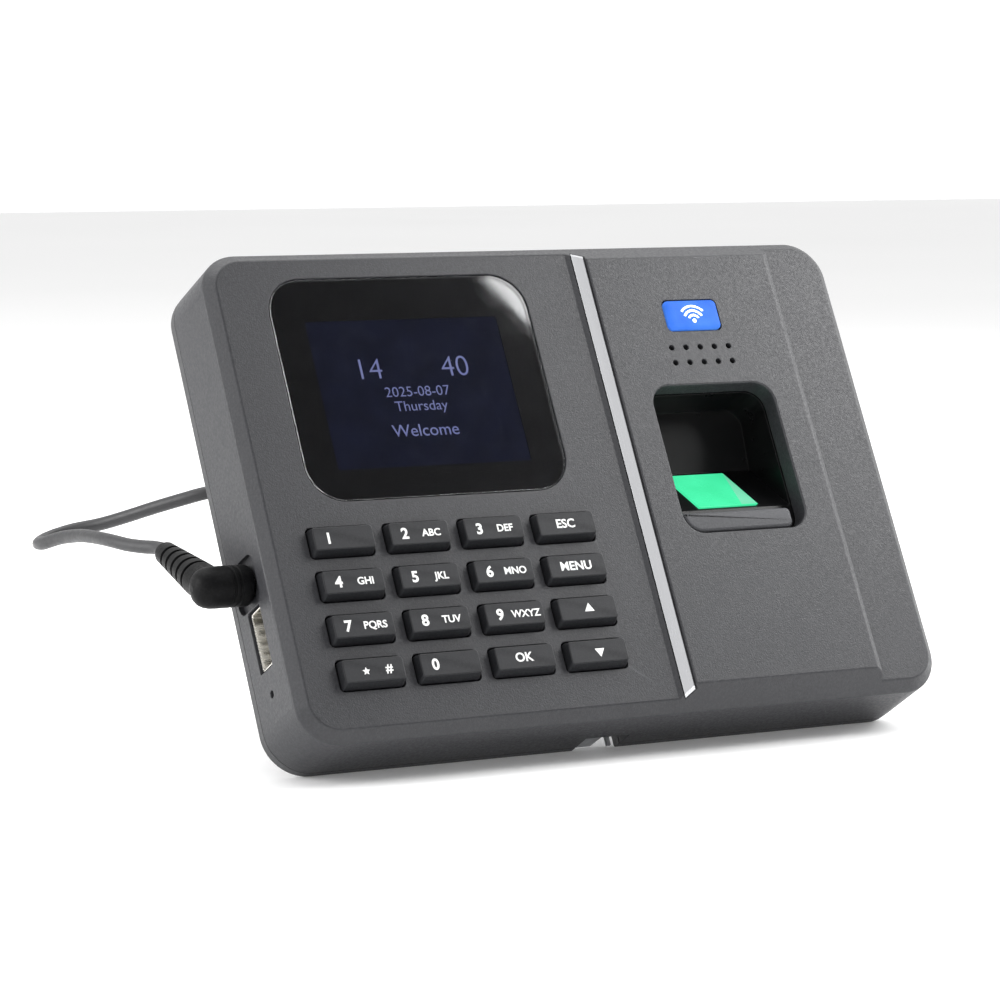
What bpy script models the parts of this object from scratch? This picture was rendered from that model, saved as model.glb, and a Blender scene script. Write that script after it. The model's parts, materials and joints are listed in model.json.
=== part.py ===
"""Fingerprint scanner terminal: a leaning desk unit with display, keypad and sensor.

Everything is in metres. The housing is drawn lying flat in its own face frame: x across the
face, y up the face from the lower edge, z out of the face, with z = 0 on the main face. The
empty desk_pose then leans that frame back on its lower rear edge. The desk stand's leg and
the supply cord are laid out in world coordinates, with the desk top at z = 0.
"""
from math import atan2, ceil, cos, pi, radians, sin

import bmesh
import bpy
from mathutils import Vector

MM = 0.001
GAP = 0.3 * MM                    # clearance between pieces that touch

# Housing
BODY_WIDTH = 167.2 * MM
BODY_HEIGHT = 119.0 * MM
BODY_DEPTH = 22.4 * MM            # main face to the back of the cover
COVER_EDGE = 3.0 * MM             # part of that depth that is the back cover
CORNER_RADIUS = 10.0 * MM
EDGE_BEVEL = 2.5 * MM             # 45 degree bevel round the face
SIDE_DRAFT = 0.5 * MM             # lean-in of the side walls, parting line to bevel
SIDE_WALL = 2.2 * MM
FACE_WALL = 2.4 * MM
BACK_BEVEL = 0.6 * MM
LEAN = radians(28.9)              # from the vertical

# Raised panel with the sensor
PANEL_RISE = 2.6 * MM
PANEL_CENTRE_X = 39.15 * MM       # middle of the sensor window, speaker holes and badge
PANEL_LEFT = 14.4 * MM
PANEL_WIDTH = 51.0 * MM
SLOPE_WIDTH = 4.0 * MM            # slope on the left of the raised panel, which holds the trim
RIGHT_BEVEL_WIDTH = 1.6 * MM
RIGHT_BEVEL_DROP = 1.0 * MM
RIGHT_STEP = 0.2 * MM

# Display
LENS_CENTRE = (-35.95 * MM, 83.6 * MM)
LENS_SIZE = (66.3 * MM, 55.2 * MM)
LENS_RADIUS = 9.0 * MM
LENS_THICKNESS = 1.2 * MM
LENS_SINK = 0.1 * MM
SCREEN_LIT = (48.96 * MM, 36.72 * MM)
SCREEN_MARGIN = 2.3 * MM
SCREEN_CENTRE_Y = 82.3 * MM
SCREEN_THICKNESS = 1.2 * MM
MODULE_MARGIN = 3.0 * MM
MODULE_THICKNESS = 2.6 * MM

# Keypad
KEY_NAMES = (
    ("key_1", "key_2", "key_3", "key_esc"),
    ("key_4", "key_5", "key_6", "key_menu"),
    ("key_7", "key_8", "key_9", "key_up"),
    ("key_star", "key_0", "key_ok", "key_down"),
)
KEY_FACE = (14.65 * MM, 5.4 * MM)
KEY_FLARE = (0.22 * MM, 0.4 * MM)  # growth of each side, face to root
KEY_LOWER_FLARE = 0.8 * MM         # the side towards the lower edge slopes more
KEY_HEIGHT = 2.3 * MM
KEY_TRAVEL = 1.0 * MM
KEY_PITCH = (18.68 * MM, 10.39 * MM)
KEY_FIRST = (-64.43 * MM, 46.6 * MM)
KEY_CLEARANCE = 0.4 * MM
KEY_FLANGE = 0.6 * MM
KEY_FLANGE_THICKNESS = 0.8 * MM
KEY_STEM = (8.0 * MM, 4.0 * MM)
KEY_STEM_LENGTH = 0.5 * MM
KEY_RADIUS = 0.7 * MM
MAT_THICKNESS = 0.9 * MM
BOARD_THICKNESS = 1.2 * MM

# Speaker and badge
BADGE_SIZE = (15.0 * MM, 8.2 * MM)
BADGE_Y = 97.7 * MM
BADGE_RISE = 0.6 * MM
BADGE_POCKET = 0.9 * MM
BADGE_RADIUS = 1.4 * MM
SPEAKER_HOLE_RADIUS = 0.7 * MM
SPEAKER_HOLE_PITCH = 3.93 * MM
SPEAKER_HOLE_COLUMNS = 5
SPEAKER_HOLE_ROWS = 2
SPEAKER_HOLES_Y = 87.4 * MM
SPEAKER_RADIUS = 10.0 * MM
SPEAKER_THICKNESS = 4.5 * MM

# Sensor
WINDOW_SIZE = (33.3 * MM, 37.5 * MM)
WINDOW_Y = 60.85 * MM
WINDOW_RADIUS = 5.0 * MM
PLATEN_WIDTH = 16.3 * MM
PLATEN_LENGTH = 17.5 * MM
PLATEN_TILT = radians(41.5)
PLATEN_FOOT = (50.6 * MM, -3.0 * MM)   # y and z of the platen's lower edge
GUIDE_WALL = 2.4 * MM
GUIDE_DEPTH = 17.5 * MM
BED_STEP = 0.4 * MM               # the bed lies this far under the platen
SILL_HEIGHT = 5.1 * MM
SILL_SINK = 0.7 * MM              # below the raised panel
SILL_SHORT = 3.6 * MM             # the sill stops this far from the window's right side
SENSOR_BOARD_THICKNESS = 1.2 * MM

# Trim strip, measured along the slope from its lower edge
TRIM_START = 1.45 * MM
TRIM_WIDTH = 2.65 * MM
TRIM_THICKNESS = 0.8 * MM
TRIM_CHANNEL_DEPTH = 1.0 * MM
TRIM_SIDE_GAP = 0.45 * MM

# Ports on the left side: y and z of each centre
JACK_CENTRE = (42.4 * MM, -12.4 * MM)
JACK_BODY = (14.0 * MM, 9.4 * MM, 8.6 * MM)
JACK_RECESS = 11.6 * MM
JACK_RECESS_DEPTH = 1.2 * MM
JACK_MOUTH_RADIUS = 3.4 * MM
PIN_RADIUS = 0.9 * MM
USB_CENTRE = (29.05 * MM, -11.3 * MM)
USB_SHELL = (16.0 * MM, 13.6 * MM, 5.9 * MM)
USB_SHELL_WALL = 0.4 * MM
USB_HOLE = (14.5 * MM, 6.7 * MM)
USB_TONGUE_THICKNESS = 1.8 * MM
RESET_CENTRE = (16.2 * MM, -11.2 * MM)
RESET_HOLE_RADIUS = 0.9 * MM
RESET_TRAVEL = 0.3 * MM
RESET_PLUNGER_RADIUS = 1.5 * MM
RESET_PLUNGER_LENGTH = 2.2 * MM
SWITCH_SIZE = (3.6 * MM, 6.0 * MM, 6.0 * MM)

# Inside
MAIN_BOARD_TOP = -15.0 * MM
MAIN_BOARD_THICKNESS = 1.6 * MM
MAIN_BOARD_RIGHT = 8.0 * MM
BOSS_RADIUS = 2.9 * MM
BOSS_BORE_RADIUS = 1.3 * MM
BOSS_INSET = (6.6 * MM, 7.0 * MM)
SCREW_RADIUS = 1.0 * MM
SCREW_HEAD_RADIUS = 2.3 * MM
SCREW_LENGTH = 9.0 * MM
SCREW_HEAD = 1.2 * MM
COVER_PLATE = 2.0 * MM
BATTERY_SIZE = (46.0 * MM, 34.0 * MM, 5.2 * MM)
CELL_RADIUS = 6.3 * MM
CELL_THICKNESS = 3.2 * MM
CHIP_SIZE = (14.0 * MM, 14.0 * MM, 1.4 * MM)

# Notch in the lower edge and the stand's hook in it
NOTCH_CENTRE_X = -2.0 * MM
NOTCH_WIDTH = 11.5 * MM
NOTCH_DEPTH = 8.4 * MM            # forward from the back
NOTCH_HEIGHT = 4.0 * MM
HOOK_WIDTH = 4.6 * MM
HOOK_CENTRE_X = -3.9 * MM
HOOK_LEVEL = 1.3 * MM
TOOTH_HEIGHT = 3.0 * MM
TOOTH_WIDTH = 0.9 * MM

# Desk stand
STAND_SHEET = 1.2 * MM
STAND_WIDTH = 84.0 * MM
STAND_CENTRE_X = 0.0
STAND_PLATE_BOTTOM = 8.0 * MM
STAND_PLATE_TOP = 96.0 * MM
STAND_REACH = 84.0 * MM           # heel of the housing to the foot, along the desk
STAND_FOOT = 18.0 * MM
STAND_FOLD = 0.95 * MM            # the foot's fold stands this far past the sheet's middle
PAD_THICKNESS = 1.5 * MM
PAD_SIZE = (14.0 * MM, 10.0 * MM)
PAD_INSET = 12.0 * MM
STAND_SCREW_Y = 60.0 * MM
STAND_SCREW_SPACING = 50.0 * MM

# Supply lead
CORD_DIAMETER = 3.2 * MM
PLUG_RADIUS = 4.7 * MM
PLUG_LENGTH = 13.7 * MM           # shoulder to the far side of the moulding
PLUG_LEG_LENGTH = 27.0 * MM
PLUG_LEG_RISE = radians(10.5)
PLUG_TIP_RADIUS = 2.6 * MM
PLUG_BARREL_RADIUS = 2.75 * MM
PLUG_BARREL_LENGTH = 9.5 * MM
LOOP_ORIGIN = (-91.7 * MM, 5.88 * MM, 46.59 * MM)  # plug tip that the loop is drawn from
LOOP_FREE = 10                    # knots over which the loop takes up a plug placed elsewhere
CLIP_HEIGHT = 57.5 * MM
CLIP_X = -33.0 * MM
CLIP_SIZE = (9.0 * MM, 7.4 * MM)
COIL_CENTRE = (22.0 * MM, 90.0 * MM)
COIL_MIDDLE_RADIUS = 18.5 * MM
COIL_WIDTH = 11.2 * MM
COIL_HEIGHT = 10.4 * MM
COIL_BASE = 0.2 * MM
TIE_WIDTH = 6.0 * MM
TIE_WALL = 1.0 * MM
USB_PLUG_BODY = (9.0 * MM, 24.0 * MM, 16.0 * MM)
USB_PLUG_SHELL = (4.5 * MM, 12.0 * MM, 12.0 * MM)
USB_PLUG_PLACE = (40.0 * MM, -2.0 * MM, 4.6 * MM)  # its cord end, from the coil's centre

SIDES_ROUND = 32
SIDES_SMALL = 16
FACE_TOP_Z = 0.0

# Worked out from the sizes above
SIN_LEAN = sin(LEAN)
COS_LEAN = cos(LEAN)
PARTING_Z = -(BODY_DEPTH - COVER_EDGE)
FACE_INSET = SIDE_DRAFT + EDGE_BEVEL
SLOPE_RIGHT = PANEL_LEFT
SLOPE_LEFT = SLOPE_RIGHT - SLOPE_WIDTH
PANEL_RIGHT = PANEL_LEFT + PANEL_WIDTH
POSE_Z = (BODY_DEPTH - BACK_BEVEL) * SIN_LEAN
HEEL_Y = BODY_DEPTH * COS_LEAN
FRONT_Y = (FACE_INSET + PANEL_RISE) * SIN_LEAN - PANEL_RISE * COS_LEAN
POSE_Y = -(FRONT_Y + HEEL_Y + STAND_REACH) / 2
KEY_FLANGE_TOP = -FACE_WALL - GAP
KEY_STEM_END = KEY_FLANGE_TOP - KEY_FLANGE_THICKNESS - KEY_STEM_LENGTH
MAT_TOP = KEY_STEM_END - KEY_TRAVEL - GAP
KEY_BOARD_TOP = MAT_TOP - MAT_THICKNESS - GAP


def remove_everything():
    for item in list(bpy.data.objects):
        bpy.data.objects.remove(item, do_unlink=True)


def make_material(name, colour, roughness, metallic=0.0, alpha=1.0, glow=0.0):
    material = bpy.data.materials.new(name)
    material.use_nodes = True
    shader = material.node_tree.nodes["Principled BSDF"]
    shader.inputs["Base Color"].default_value = (*colour, 1.0)
    shader.inputs["Roughness"].default_value = roughness
    shader.inputs["Metallic"].default_value = metallic
    shader.inputs["Alpha"].default_value = alpha
    shader.inputs["Emission Color"].default_value = (*colour, 1.0)
    shader.inputs["Emission Strength"].default_value = glow
    return material


def make_object(name, bm, material, parent, smooth_angle=radians(35)):
    bmesh.ops.recalc_face_normals(bm, faces=bm.faces)
    mesh = bpy.data.meshes.new(name)
    bm.to_mesh(mesh)
    bm.free()
    mesh.shade_smooth()
    mesh.set_sharp_from_angle(angle=smooth_angle)
    item = bpy.data.objects.new(name, mesh)
    bpy.context.scene.collection.objects.link(item)
    item.parent = parent
    if material:
        item.data.materials.append(material)
    return item


def make_cutter(name, bm, parent):
    cutter = make_object(name, bm, None, parent)
    cutter.hide_render = True
    cutter.display_type = "WIRE"
    return cutter


def boolean(item, other, operation="DIFFERENCE"):
    modifier = item.modifiers.new(f"{operation.lower()}_{other.name}", "BOOLEAN")
    modifier.object = other
    modifier.operation = operation
    modifier.solver = "EXACT"


def rounded_rectangle(width, height, radius, segments=6, centre=(0.0, 0.0)):
    """Corner points of a rounded rectangle, counter-clockwise from the right side."""
    points = []
    corners = ((1, 1, 0.0), (-1, 1, pi / 2), (-1, -1, pi), (1, -1, 3 * pi / 2))
    for side_x, side_y, start in corners:
        corner_x = centre[0] + side_x * (width / 2 - radius)
        corner_y = centre[1] + side_y * (height / 2 - radius)
        for step in range(segments + 1):
            angle = start + step * pi / 2 / segments
            points.append((corner_x + radius * cos(angle), corner_y + radius * sin(angle)))
    return points


def circle(radius, sides, centre=(0.0, 0.0)):
    points = []
    for step in range(sides):
        angle = 2 * pi * step / sides
        points.append((centre[0] + radius * cos(angle), centre[1] + radius * sin(angle)))
    return points


def add_loft(bm, rings):
    """Skin through rings of 3D points that have one count, with flat ends."""
    loops = [[bm.verts.new(point) for point in ring] for ring in rings]
    count = len(loops[0])
    for lower, upper in zip(loops, loops[1:]):
        for index in range(count):
            following = (index + 1) % count
            bm.faces.new((lower[index], lower[following], upper[following], upper[index]))
    bm.faces.new(list(reversed(loops[0])))
    bm.faces.new(loops[-1])


def add_prism(bm, outline, low, high, axis="z"):
    """Outline extruded along an axis: xy outlines along z, yz outlines along x, xz along y."""
    places = {
        "z": lambda a, b, level: (a, b, level),
        "x": lambda a, b, level: (level, a, b),
        "y": lambda a, b, level: (a, level, b),
    }
    place = places[axis]
    add_loft(bm, [[place(a, b, level) for a, b in outline] for level in (low, high)])


def add_box(bm, low, high):
    outline = [(low[0], low[1]), (high[0], low[1]), (high[0], high[1]), (low[0], high[1])]
    add_prism(bm, outline, low[2], high[2])


def centred_box(bm, centre, size):
    low = [middle - extent / 2 for middle, extent in zip(centre, size)]
    high = [middle + extent / 2 for middle, extent in zip(centre, size)]
    add_box(bm, low, high)


def level_ring(outline, level):
    return [(x, y, level) for x, y in outline]


def body_outline(inset, segments=8):
    """Plan of the housing, drawn in from its widest line, in the face frame."""
    return rounded_rectangle(
        BODY_WIDTH - 2 * inset, BODY_HEIGHT - 2 * inset, CORNER_RADIUS - inset, segments,
        centre=(0.0, BODY_HEIGHT / 2))


def slope_point(along, above=0.0):
    """x and z of a point along the trim's slope and square off it."""
    angle = atan2(PANEL_RISE, SLOPE_WIDTH)
    x = SLOPE_LEFT + along * cos(angle) - above * sin(angle)
    z = along * sin(angle) + above * cos(angle)
    return x, z


def to_face(world_y, world_z):
    """World y and z as y and z of the face frame."""
    across = world_y - POSE_Y
    up = world_z - POSE_Z
    return (across * SIN_LEAN + up * COS_LEAN, -across * COS_LEAN + up * SIN_LEAN)


# ---------------------------------------------------------------- housing

def add_outer_skin(bm):
    """Outside of the front shell, with flat panels joined by 45 degree bevels."""
    foot = [bm.verts.new(point) for point in level_ring(body_outline(0.0), PARTING_Z)]
    brow = [bm.verts.new(point) for point in level_ring(body_outline(SIDE_DRAFT), -EDGE_BEVEL)]
    face = [bm.verts.new(point) for point in level_ring(body_outline(FACE_INSET), FACE_TOP_Z)]
    count = len(foot)
    for index in range(count):
        following = (index + 1) % count
        bm.faces.new((foot[index], foot[following], brow[following], brow[index]))
    bm.faces.new(list(reversed(foot)))

    # Corners in order: right top, left top, left bottom, right bottom.
    step = count // 4
    top_right, top_left = face[step - 1], face[step]
    bottom_left, bottom_right = face[3 * step - 1], face[3 * step]

    def rail(low_y_side):
        """Vertices where the raised panel's profile crosses the upper or lower bevel."""
        profile = (
            (PANEL_RIGHT + RIGHT_STEP, FACE_TOP_Z),
            (PANEL_RIGHT, PANEL_RISE - RIGHT_BEVEL_DROP),
            (PANEL_RIGHT - RIGHT_BEVEL_WIDTH, PANEL_RISE),
            (SLOPE_RIGHT, PANEL_RISE),
            (SLOPE_LEFT, FACE_TOP_Z),
        )
        points = []
        for x, z in profile:
            y = FACE_INSET + z
            points.append(bm.verts.new((x, y if low_y_side else BODY_HEIGHT - y, z)))
        return points

    upper = rail(False)
    lower = rail(True)
    for index in range(count):
        following = (index + 1) % count
        if index in (step - 1, 3 * step - 1):
            continue
        bm.faces.new((brow[index], brow[following], face[following], face[index]))
    bm.faces.new([brow[step - 1], brow[step], top_left, *reversed(upper), top_right])
    bm.faces.new([brow[3 * step - 1], brow[3 * step], bottom_right, *lower, bottom_left])
    for index in range(len(upper) - 1):
        bm.faces.new((lower[index], upper[index], upper[index + 1], lower[index + 1]))
    bm.faces.new([bottom_right, *face[3 * step + 1:], *face[:step], upper[0], lower[0]])
    bm.faces.new([*face[step:3 * step], lower[-1], upper[-1]])


def boss_places():
    inset_x, inset_y = BOSS_INSET
    half = BODY_WIDTH / 2 - inset_x
    return [(x, y) for x in (-half, half) for y in (inset_y, BODY_HEIGHT - inset_y)]


def key_places():
    for row, names in enumerate(KEY_NAMES):
        for column, name in enumerate(names):
            x = KEY_FIRST[0] + column * KEY_PITCH[0]
            y = KEY_FIRST[1] - row * KEY_PITCH[1]
            yield name, x, y


def key_root():
    """Size of a key where it leaves the shell, and how far its middle sits below the face's."""
    width = KEY_FACE[0] + 2 * KEY_FLARE[0]
    height = KEY_FACE[1] + KEY_FLARE[1] + KEY_LOWER_FLARE
    return width, height, (KEY_LOWER_FLARE - KEY_FLARE[1]) / 2


def screen_outline(margin, radius=1.0 * MM):
    return rounded_rectangle(
        SCREEN_LIT[0] + 2 * margin, SCREEN_LIT[1] + 2 * margin, radius, 3,
        centre=(LENS_CENTRE[0], SCREEN_CENTRE_Y))


def notch_outline():
    half = NOTCH_WIDTH / 2
    return [
        (NOTCH_CENTRE_X - half, -NOTCH_HEIGHT), (NOTCH_CENTRE_X + half, -NOTCH_HEIGHT),
        (NOTCH_CENTRE_X + half, NOTCH_HEIGHT), (NOTCH_CENTRE_X - half, NOTCH_HEIGHT)]


def cut_notch(item, parent, name):
    bm = bmesh.new()
    add_prism(bm, notch_outline(), -BODY_DEPTH - 2 * MM, -BODY_DEPTH + NOTCH_DEPTH)
    boolean(item, make_cutter(f"{name}_notch_cutter", bm, parent))


def cut_cavity(shell, parent):
    corner = FACE_INSET + SIDE_WALL
    bm = bmesh.new()
    add_loft(bm, [
        level_ring(body_outline(SIDE_WALL), PARTING_Z - 2 * MM),
        level_ring(body_outline(SIDE_WALL + SIDE_DRAFT), -FACE_WALL - EDGE_BEVEL),
        level_ring(body_outline(corner), -FACE_WALL),
    ])
    boolean(shell, make_cutter("shell_cavity_cutter", bm, parent))


def cut_panel_pockets(shell, parent):
    """Hollows behind the raised panel, above and below the sensor window."""
    left = SLOPE_RIGHT + SIDE_WALL
    right = PANEL_RIGHT - RIGHT_BEVEL_WIDTH - SIDE_WALL
    ceiling = PANEL_RISE - FACE_WALL
    margin = GUIDE_WALL + 2 * MM
    window_top = WINDOW_Y + WINDOW_SIZE[1] / 2 + margin
    window_bottom = WINDOW_Y - WINDOW_SIZE[1] / 2 - margin
    edge = FACE_INSET + SIDE_WALL + PANEL_RISE
    bm = bmesh.new()
    add_box(bm, (left, window_top, -FACE_WALL - 1 * MM), (right, BODY_HEIGHT - edge, ceiling))
    add_box(bm, (left, edge, -FACE_WALL - 1 * MM), (right, window_bottom, ceiling))
    boolean(shell, make_cutter("shell_pocket_cutter", bm, parent))


def cut_face_openings(shell, parent):
    bm = bmesh.new()
    root_width, root_height, root_drop = key_root()
    for _name, x, y in key_places():
        hole = rounded_rectangle(
            root_width + 2 * KEY_CLEARANCE, root_height + 2 * KEY_CLEARANCE,
            KEY_RADIUS + KEY_CLEARANCE, 3, centre=(x, y - root_drop))
        add_prism(bm, hole, -FACE_WALL - 1 * MM, 1 * MM)
    for x, y in speaker_hole_places():
        hole = circle(SPEAKER_HOLE_RADIUS, 12, centre=(x, y))
        add_prism(bm, hole, -FACE_WALL - 1 * MM, PANEL_RISE + 1 * MM)
    window = rounded_rectangle(*WINDOW_SIZE, WINDOW_RADIUS, 6, centre=(PANEL_CENTRE_X, WINDOW_Y))
    add_prism(bm, window, -FACE_WALL - 1 * MM, PANEL_RISE + 1 * MM)
    add_prism(bm, screen_outline(SCREEN_MARGIN + GAP), -FACE_WALL - 1 * MM, 1 * MM)
    boolean(shell, make_cutter("shell_opening_cutter", bm, parent))

    bm = bmesh.new()
    lens = rounded_rectangle(*LENS_SIZE, LENS_RADIUS, 8, centre=LENS_CENTRE)
    add_prism(bm, lens, -LENS_SINK - LENS_THICKNESS - GAP, 1 * MM)
    badge = rounded_rectangle(*BADGE_SIZE, BADGE_RADIUS, 4, centre=(PANEL_CENTRE_X, BADGE_Y))
    add_prism(bm, badge, PANEL_RISE - BADGE_POCKET, PANEL_RISE + 1 * MM)
    boolean(shell, make_cutter("shell_recess_cutter", bm, parent))


def speaker_hole_places():
    for row in range(SPEAKER_HOLE_ROWS):
        for column in range(SPEAKER_HOLE_COLUMNS):
            x = PANEL_CENTRE_X + (column - (SPEAKER_HOLE_COLUMNS - 1) / 2) * SPEAKER_HOLE_PITCH
            y = SPEAKER_HOLES_Y + (row - (SPEAKER_HOLE_ROWS - 1) / 2) * SPEAKER_HOLE_PITCH
            yield x, y


def cut_trim_channel(shell, parent):
    start = TRIM_START - TRIM_SIDE_GAP / 2
    end = TRIM_START + TRIM_WIDTH + TRIM_SIDE_GAP
    outline = [
        slope_point(start, -TRIM_CHANNEL_DEPTH), slope_point(end, -TRIM_CHANNEL_DEPTH),
        slope_point(end, 3 * MM), slope_point(start, 3 * MM)]
    bm = bmesh.new()
    add_prism(bm, outline, -5 * MM, BODY_HEIGHT + 5 * MM, axis="y")
    boolean(shell, make_cutter("trim_channel_cutter", bm, parent))


def cut_ports(shell, parent):
    left = -BODY_WIDTH / 2
    bm = bmesh.new()
    recess = rounded_rectangle(JACK_RECESS, JACK_RECESS, 2.6 * MM, 4, centre=JACK_CENTRE)
    add_prism(bm, recess, left - 2 * MM, left + JACK_RECESS_DEPTH, axis="x")
    hole = rounded_rectangle(*USB_HOLE, 0.6 * MM, 3, centre=USB_CENTRE)
    add_prism(bm, hole, left - 2 * MM, left + SIDE_WALL + 2 * MM, axis="x")
    pinhole = circle(RESET_HOLE_RADIUS, 12, centre=RESET_CENTRE)
    add_prism(bm, pinhole, left - 2 * MM, left + SIDE_WALL + 2 * MM, axis="x")
    boolean(shell, make_cutter("port_cutter", bm, parent))
    bm = bmesh.new()
    mouth = circle(JACK_MOUTH_RADIUS, 24, centre=JACK_CENTRE)
    add_prism(bm, mouth, left - 2 * MM, left + SIDE_WALL + 2 * MM, axis="x")
    boolean(shell, make_cutter("jack_mouth_cutter", bm, parent))


def add_bosses(shell, parent):
    bm = bmesh.new()
    for place in boss_places():
        add_prism(bm, circle(BOSS_RADIUS, SIDES_SMALL, place), PARTING_Z + GAP, -FACE_WALL + 0.8 * MM)
    boolean(shell, make_cutter("boss_guide", bm, parent), "UNION")
    bm = bmesh.new()
    for place in boss_places():
        bore = circle(BOSS_BORE_RADIUS, 12, place)
        add_prism(bm, bore, PARTING_Z - 1 * MM, -BODY_DEPTH + SCREW_LENGTH + 3 * MM)
    boolean(shell, make_cutter("boss_bore_cutter", bm, parent))


def make_front_shell(parent):
    material = make_material("charcoal_plastic", (0.032, 0.034, 0.038), 0.55)
    bm = bmesh.new()
    add_outer_skin(bm)
    shell = make_object("front_shell", bm, material, parent)
    cut_cavity(shell, parent)
    cut_panel_pockets(shell, parent)
    cut_face_openings(shell, parent)
    cut_trim_channel(shell, parent)
    cut_ports(shell, parent)
    add_bosses(shell, parent)
    cut_notch(shell, parent, "shell")


def make_back_cover(parent):
    material = make_material("cover_plastic", (0.06, 0.06, 0.064), 0.5)
    bm = bmesh.new()
    add_loft(bm, [
        level_ring(body_outline(BACK_BEVEL), -BODY_DEPTH),
        level_ring(body_outline(0.0), -BODY_DEPTH + BACK_BEVEL),
        level_ring(body_outline(0.0), PARTING_Z - GAP),
    ])
    cover = make_object("back_cover", bm, material, parent)
    bm = bmesh.new()
    add_prism(bm, body_outline(SIDE_WALL), -BODY_DEPTH + COVER_PLATE, PARTING_Z + 2 * MM)
    boolean(cover, make_cutter("cover_hollow_cutter", bm, parent))
    bm = bmesh.new()
    for place in boss_places():
        add_loft(bm, [
            level_ring(circle(SCREW_HEAD_RADIUS + GAP, 20, place), -BODY_DEPTH - 1 * MM),
            level_ring(circle(SCREW_HEAD_RADIUS + GAP, 20, place), screw_seat()),
            level_ring(circle(BOSS_BORE_RADIUS, 20, place), screw_seat()),
            level_ring(circle(BOSS_BORE_RADIUS, 20, place), PARTING_Z + 1 * MM),
        ])
    for x in stand_screw_places():
        bore = circle(BOSS_BORE_RADIUS, 20, (x, STAND_SCREW_Y))
        add_prism(bm, bore, -BODY_DEPTH - 1 * MM, PARTING_Z + 1 * MM)
    boolean(cover, make_cutter("cover_screw_cutter", bm, parent))
    cut_notch(cover, parent, "cover")


def screw_seat():
    return -BODY_DEPTH + SCREW_HEAD + 0.2 * MM


def stand_screw_places():
    return [STAND_CENTRE_X + side * STAND_SCREW_SPACING / 2 for side in (-1, 1)]


def make_screw(name, place, head_end, seat, length, parent, material):
    """Pan head screw along the face frame's z, its head towards the back."""
    bm = bmesh.new()
    head = circle(SCREW_HEAD_RADIUS, 20)
    rim = circle(SCREW_HEAD_RADIUS * 0.82, 20)
    shank = circle(SCREW_RADIUS, 20)
    chamfer = 0.35 * MM
    add_loft(bm, [
        level_ring(rim, 0.0),
        level_ring(head, chamfer),
        level_ring(head, seat - head_end),
        level_ring(shank, seat - head_end),
        level_ring(shank, length),
        level_ring(circle(SCREW_RADIUS * 0.5, 20), length + 0.8 * MM),
    ])
    screw = make_object(name, bm, material, parent)
    screw.location = (place[0], place[1], head_end)
    slot = bmesh.new()
    centred_box(slot, (0.0, 0.0, 0.0), (2.6 * MM, 0.6 * MM, 1.0 * MM))
    cutter = make_cutter(f"{name}_slot_cutter", slot, parent)
    cutter.location = screw.location
    boolean(screw, cutter)


def make_cover_screws(parent, material):
    for index, place in enumerate(boss_places(), start=1):
        head_end = screw_seat() - GAP - SCREW_HEAD
        make_screw(f"cover_screw_{index}", place, head_end, head_end + SCREW_HEAD,
                   SCREW_LENGTH, parent, material)


# ---------------------------------------------------------------- display, trim and badge

def make_display(parent):
    lens_material = make_material("lens_black", (0.008, 0.009, 0.012), 0.08)
    bm = bmesh.new()
    outline = rounded_rectangle(
        LENS_SIZE[0] - 2 * GAP, LENS_SIZE[1] - 2 * GAP, LENS_RADIUS - GAP, 8, centre=LENS_CENTRE)
    add_prism(bm, outline, -LENS_SINK - LENS_THICKNESS, -LENS_SINK)
    make_object("display_lens", bm, lens_material, parent)

    screen_top = -LENS_SINK - LENS_THICKNESS - 2 * GAP
    screen_material = make_material("screen_navy", (0.02, 0.025, 0.11), 0.25, glow=0.3)
    bm = bmesh.new()
    add_prism(bm, screen_outline(SCREEN_MARGIN), screen_top - SCREEN_THICKNESS, screen_top)
    make_object("display_screen", bm, screen_material, parent)

    module_top = screen_top - SCREEN_THICKNESS - GAP
    module_material = make_material("module_steel", (0.55, 0.56, 0.58), 0.35, metallic=1.0)
    bm = bmesh.new()
    outline = screen_outline(SCREEN_MARGIN + MODULE_MARGIN, radius=1.5 * MM)
    add_prism(bm, outline, module_top - MODULE_THICKNESS, module_top)
    make_object("display_module", bm, module_material, parent)


def make_trim_strip(parent):
    """Silver strip in the slope, its ends cut on the housing's bevel."""
    material = make_material("trim_silver", (0.75, 0.76, 0.78), 0.22, metallic=1.0)
    start = TRIM_START
    end = TRIM_START + TRIM_WIDTH
    proud = 0.1 * MM
    section = [
        slope_point(start, proud - TRIM_THICKNESS), slope_point(end, proud - TRIM_THICKNESS),
        slope_point(end, proud), slope_point(start, proud)]
    bm = bmesh.new()
    add_loft(bm, [
        [(x, FACE_INSET + z, z) for x, z in section],
        [(x, BODY_HEIGHT - FACE_INSET - z, z) for x, z in section],
    ])
    make_object("trim_strip", bm, material, parent)


def make_badge(parent):
    """Domed blue lens over the badge light."""
    material = make_material("badge_blue", (0.05, 0.25, 0.85), 0.12, glow=1.0)
    floor = PANEL_RISE - BADGE_POCKET + GAP
    height = BADGE_POCKET - GAP + BADGE_RISE
    rings = []
    for inset, rise in ((0.0, 0.0), (0.0, 0.6), (0.25, 0.86), (0.8, 1.0)):
        shrink = 2 * (GAP + inset * MM)
        outline = rounded_rectangle(
            BADGE_SIZE[0] - shrink, BADGE_SIZE[1] - shrink, BADGE_RADIUS - shrink / 4, 4,
            centre=(PANEL_CENTRE_X, BADGE_Y))
        rings.append(level_ring(outline, floor + rise * height))
    bm = bmesh.new()
    add_loft(bm, rings)
    make_object("badge", bm, material, parent)


# ---------------------------------------------------------------- keypad

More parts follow.
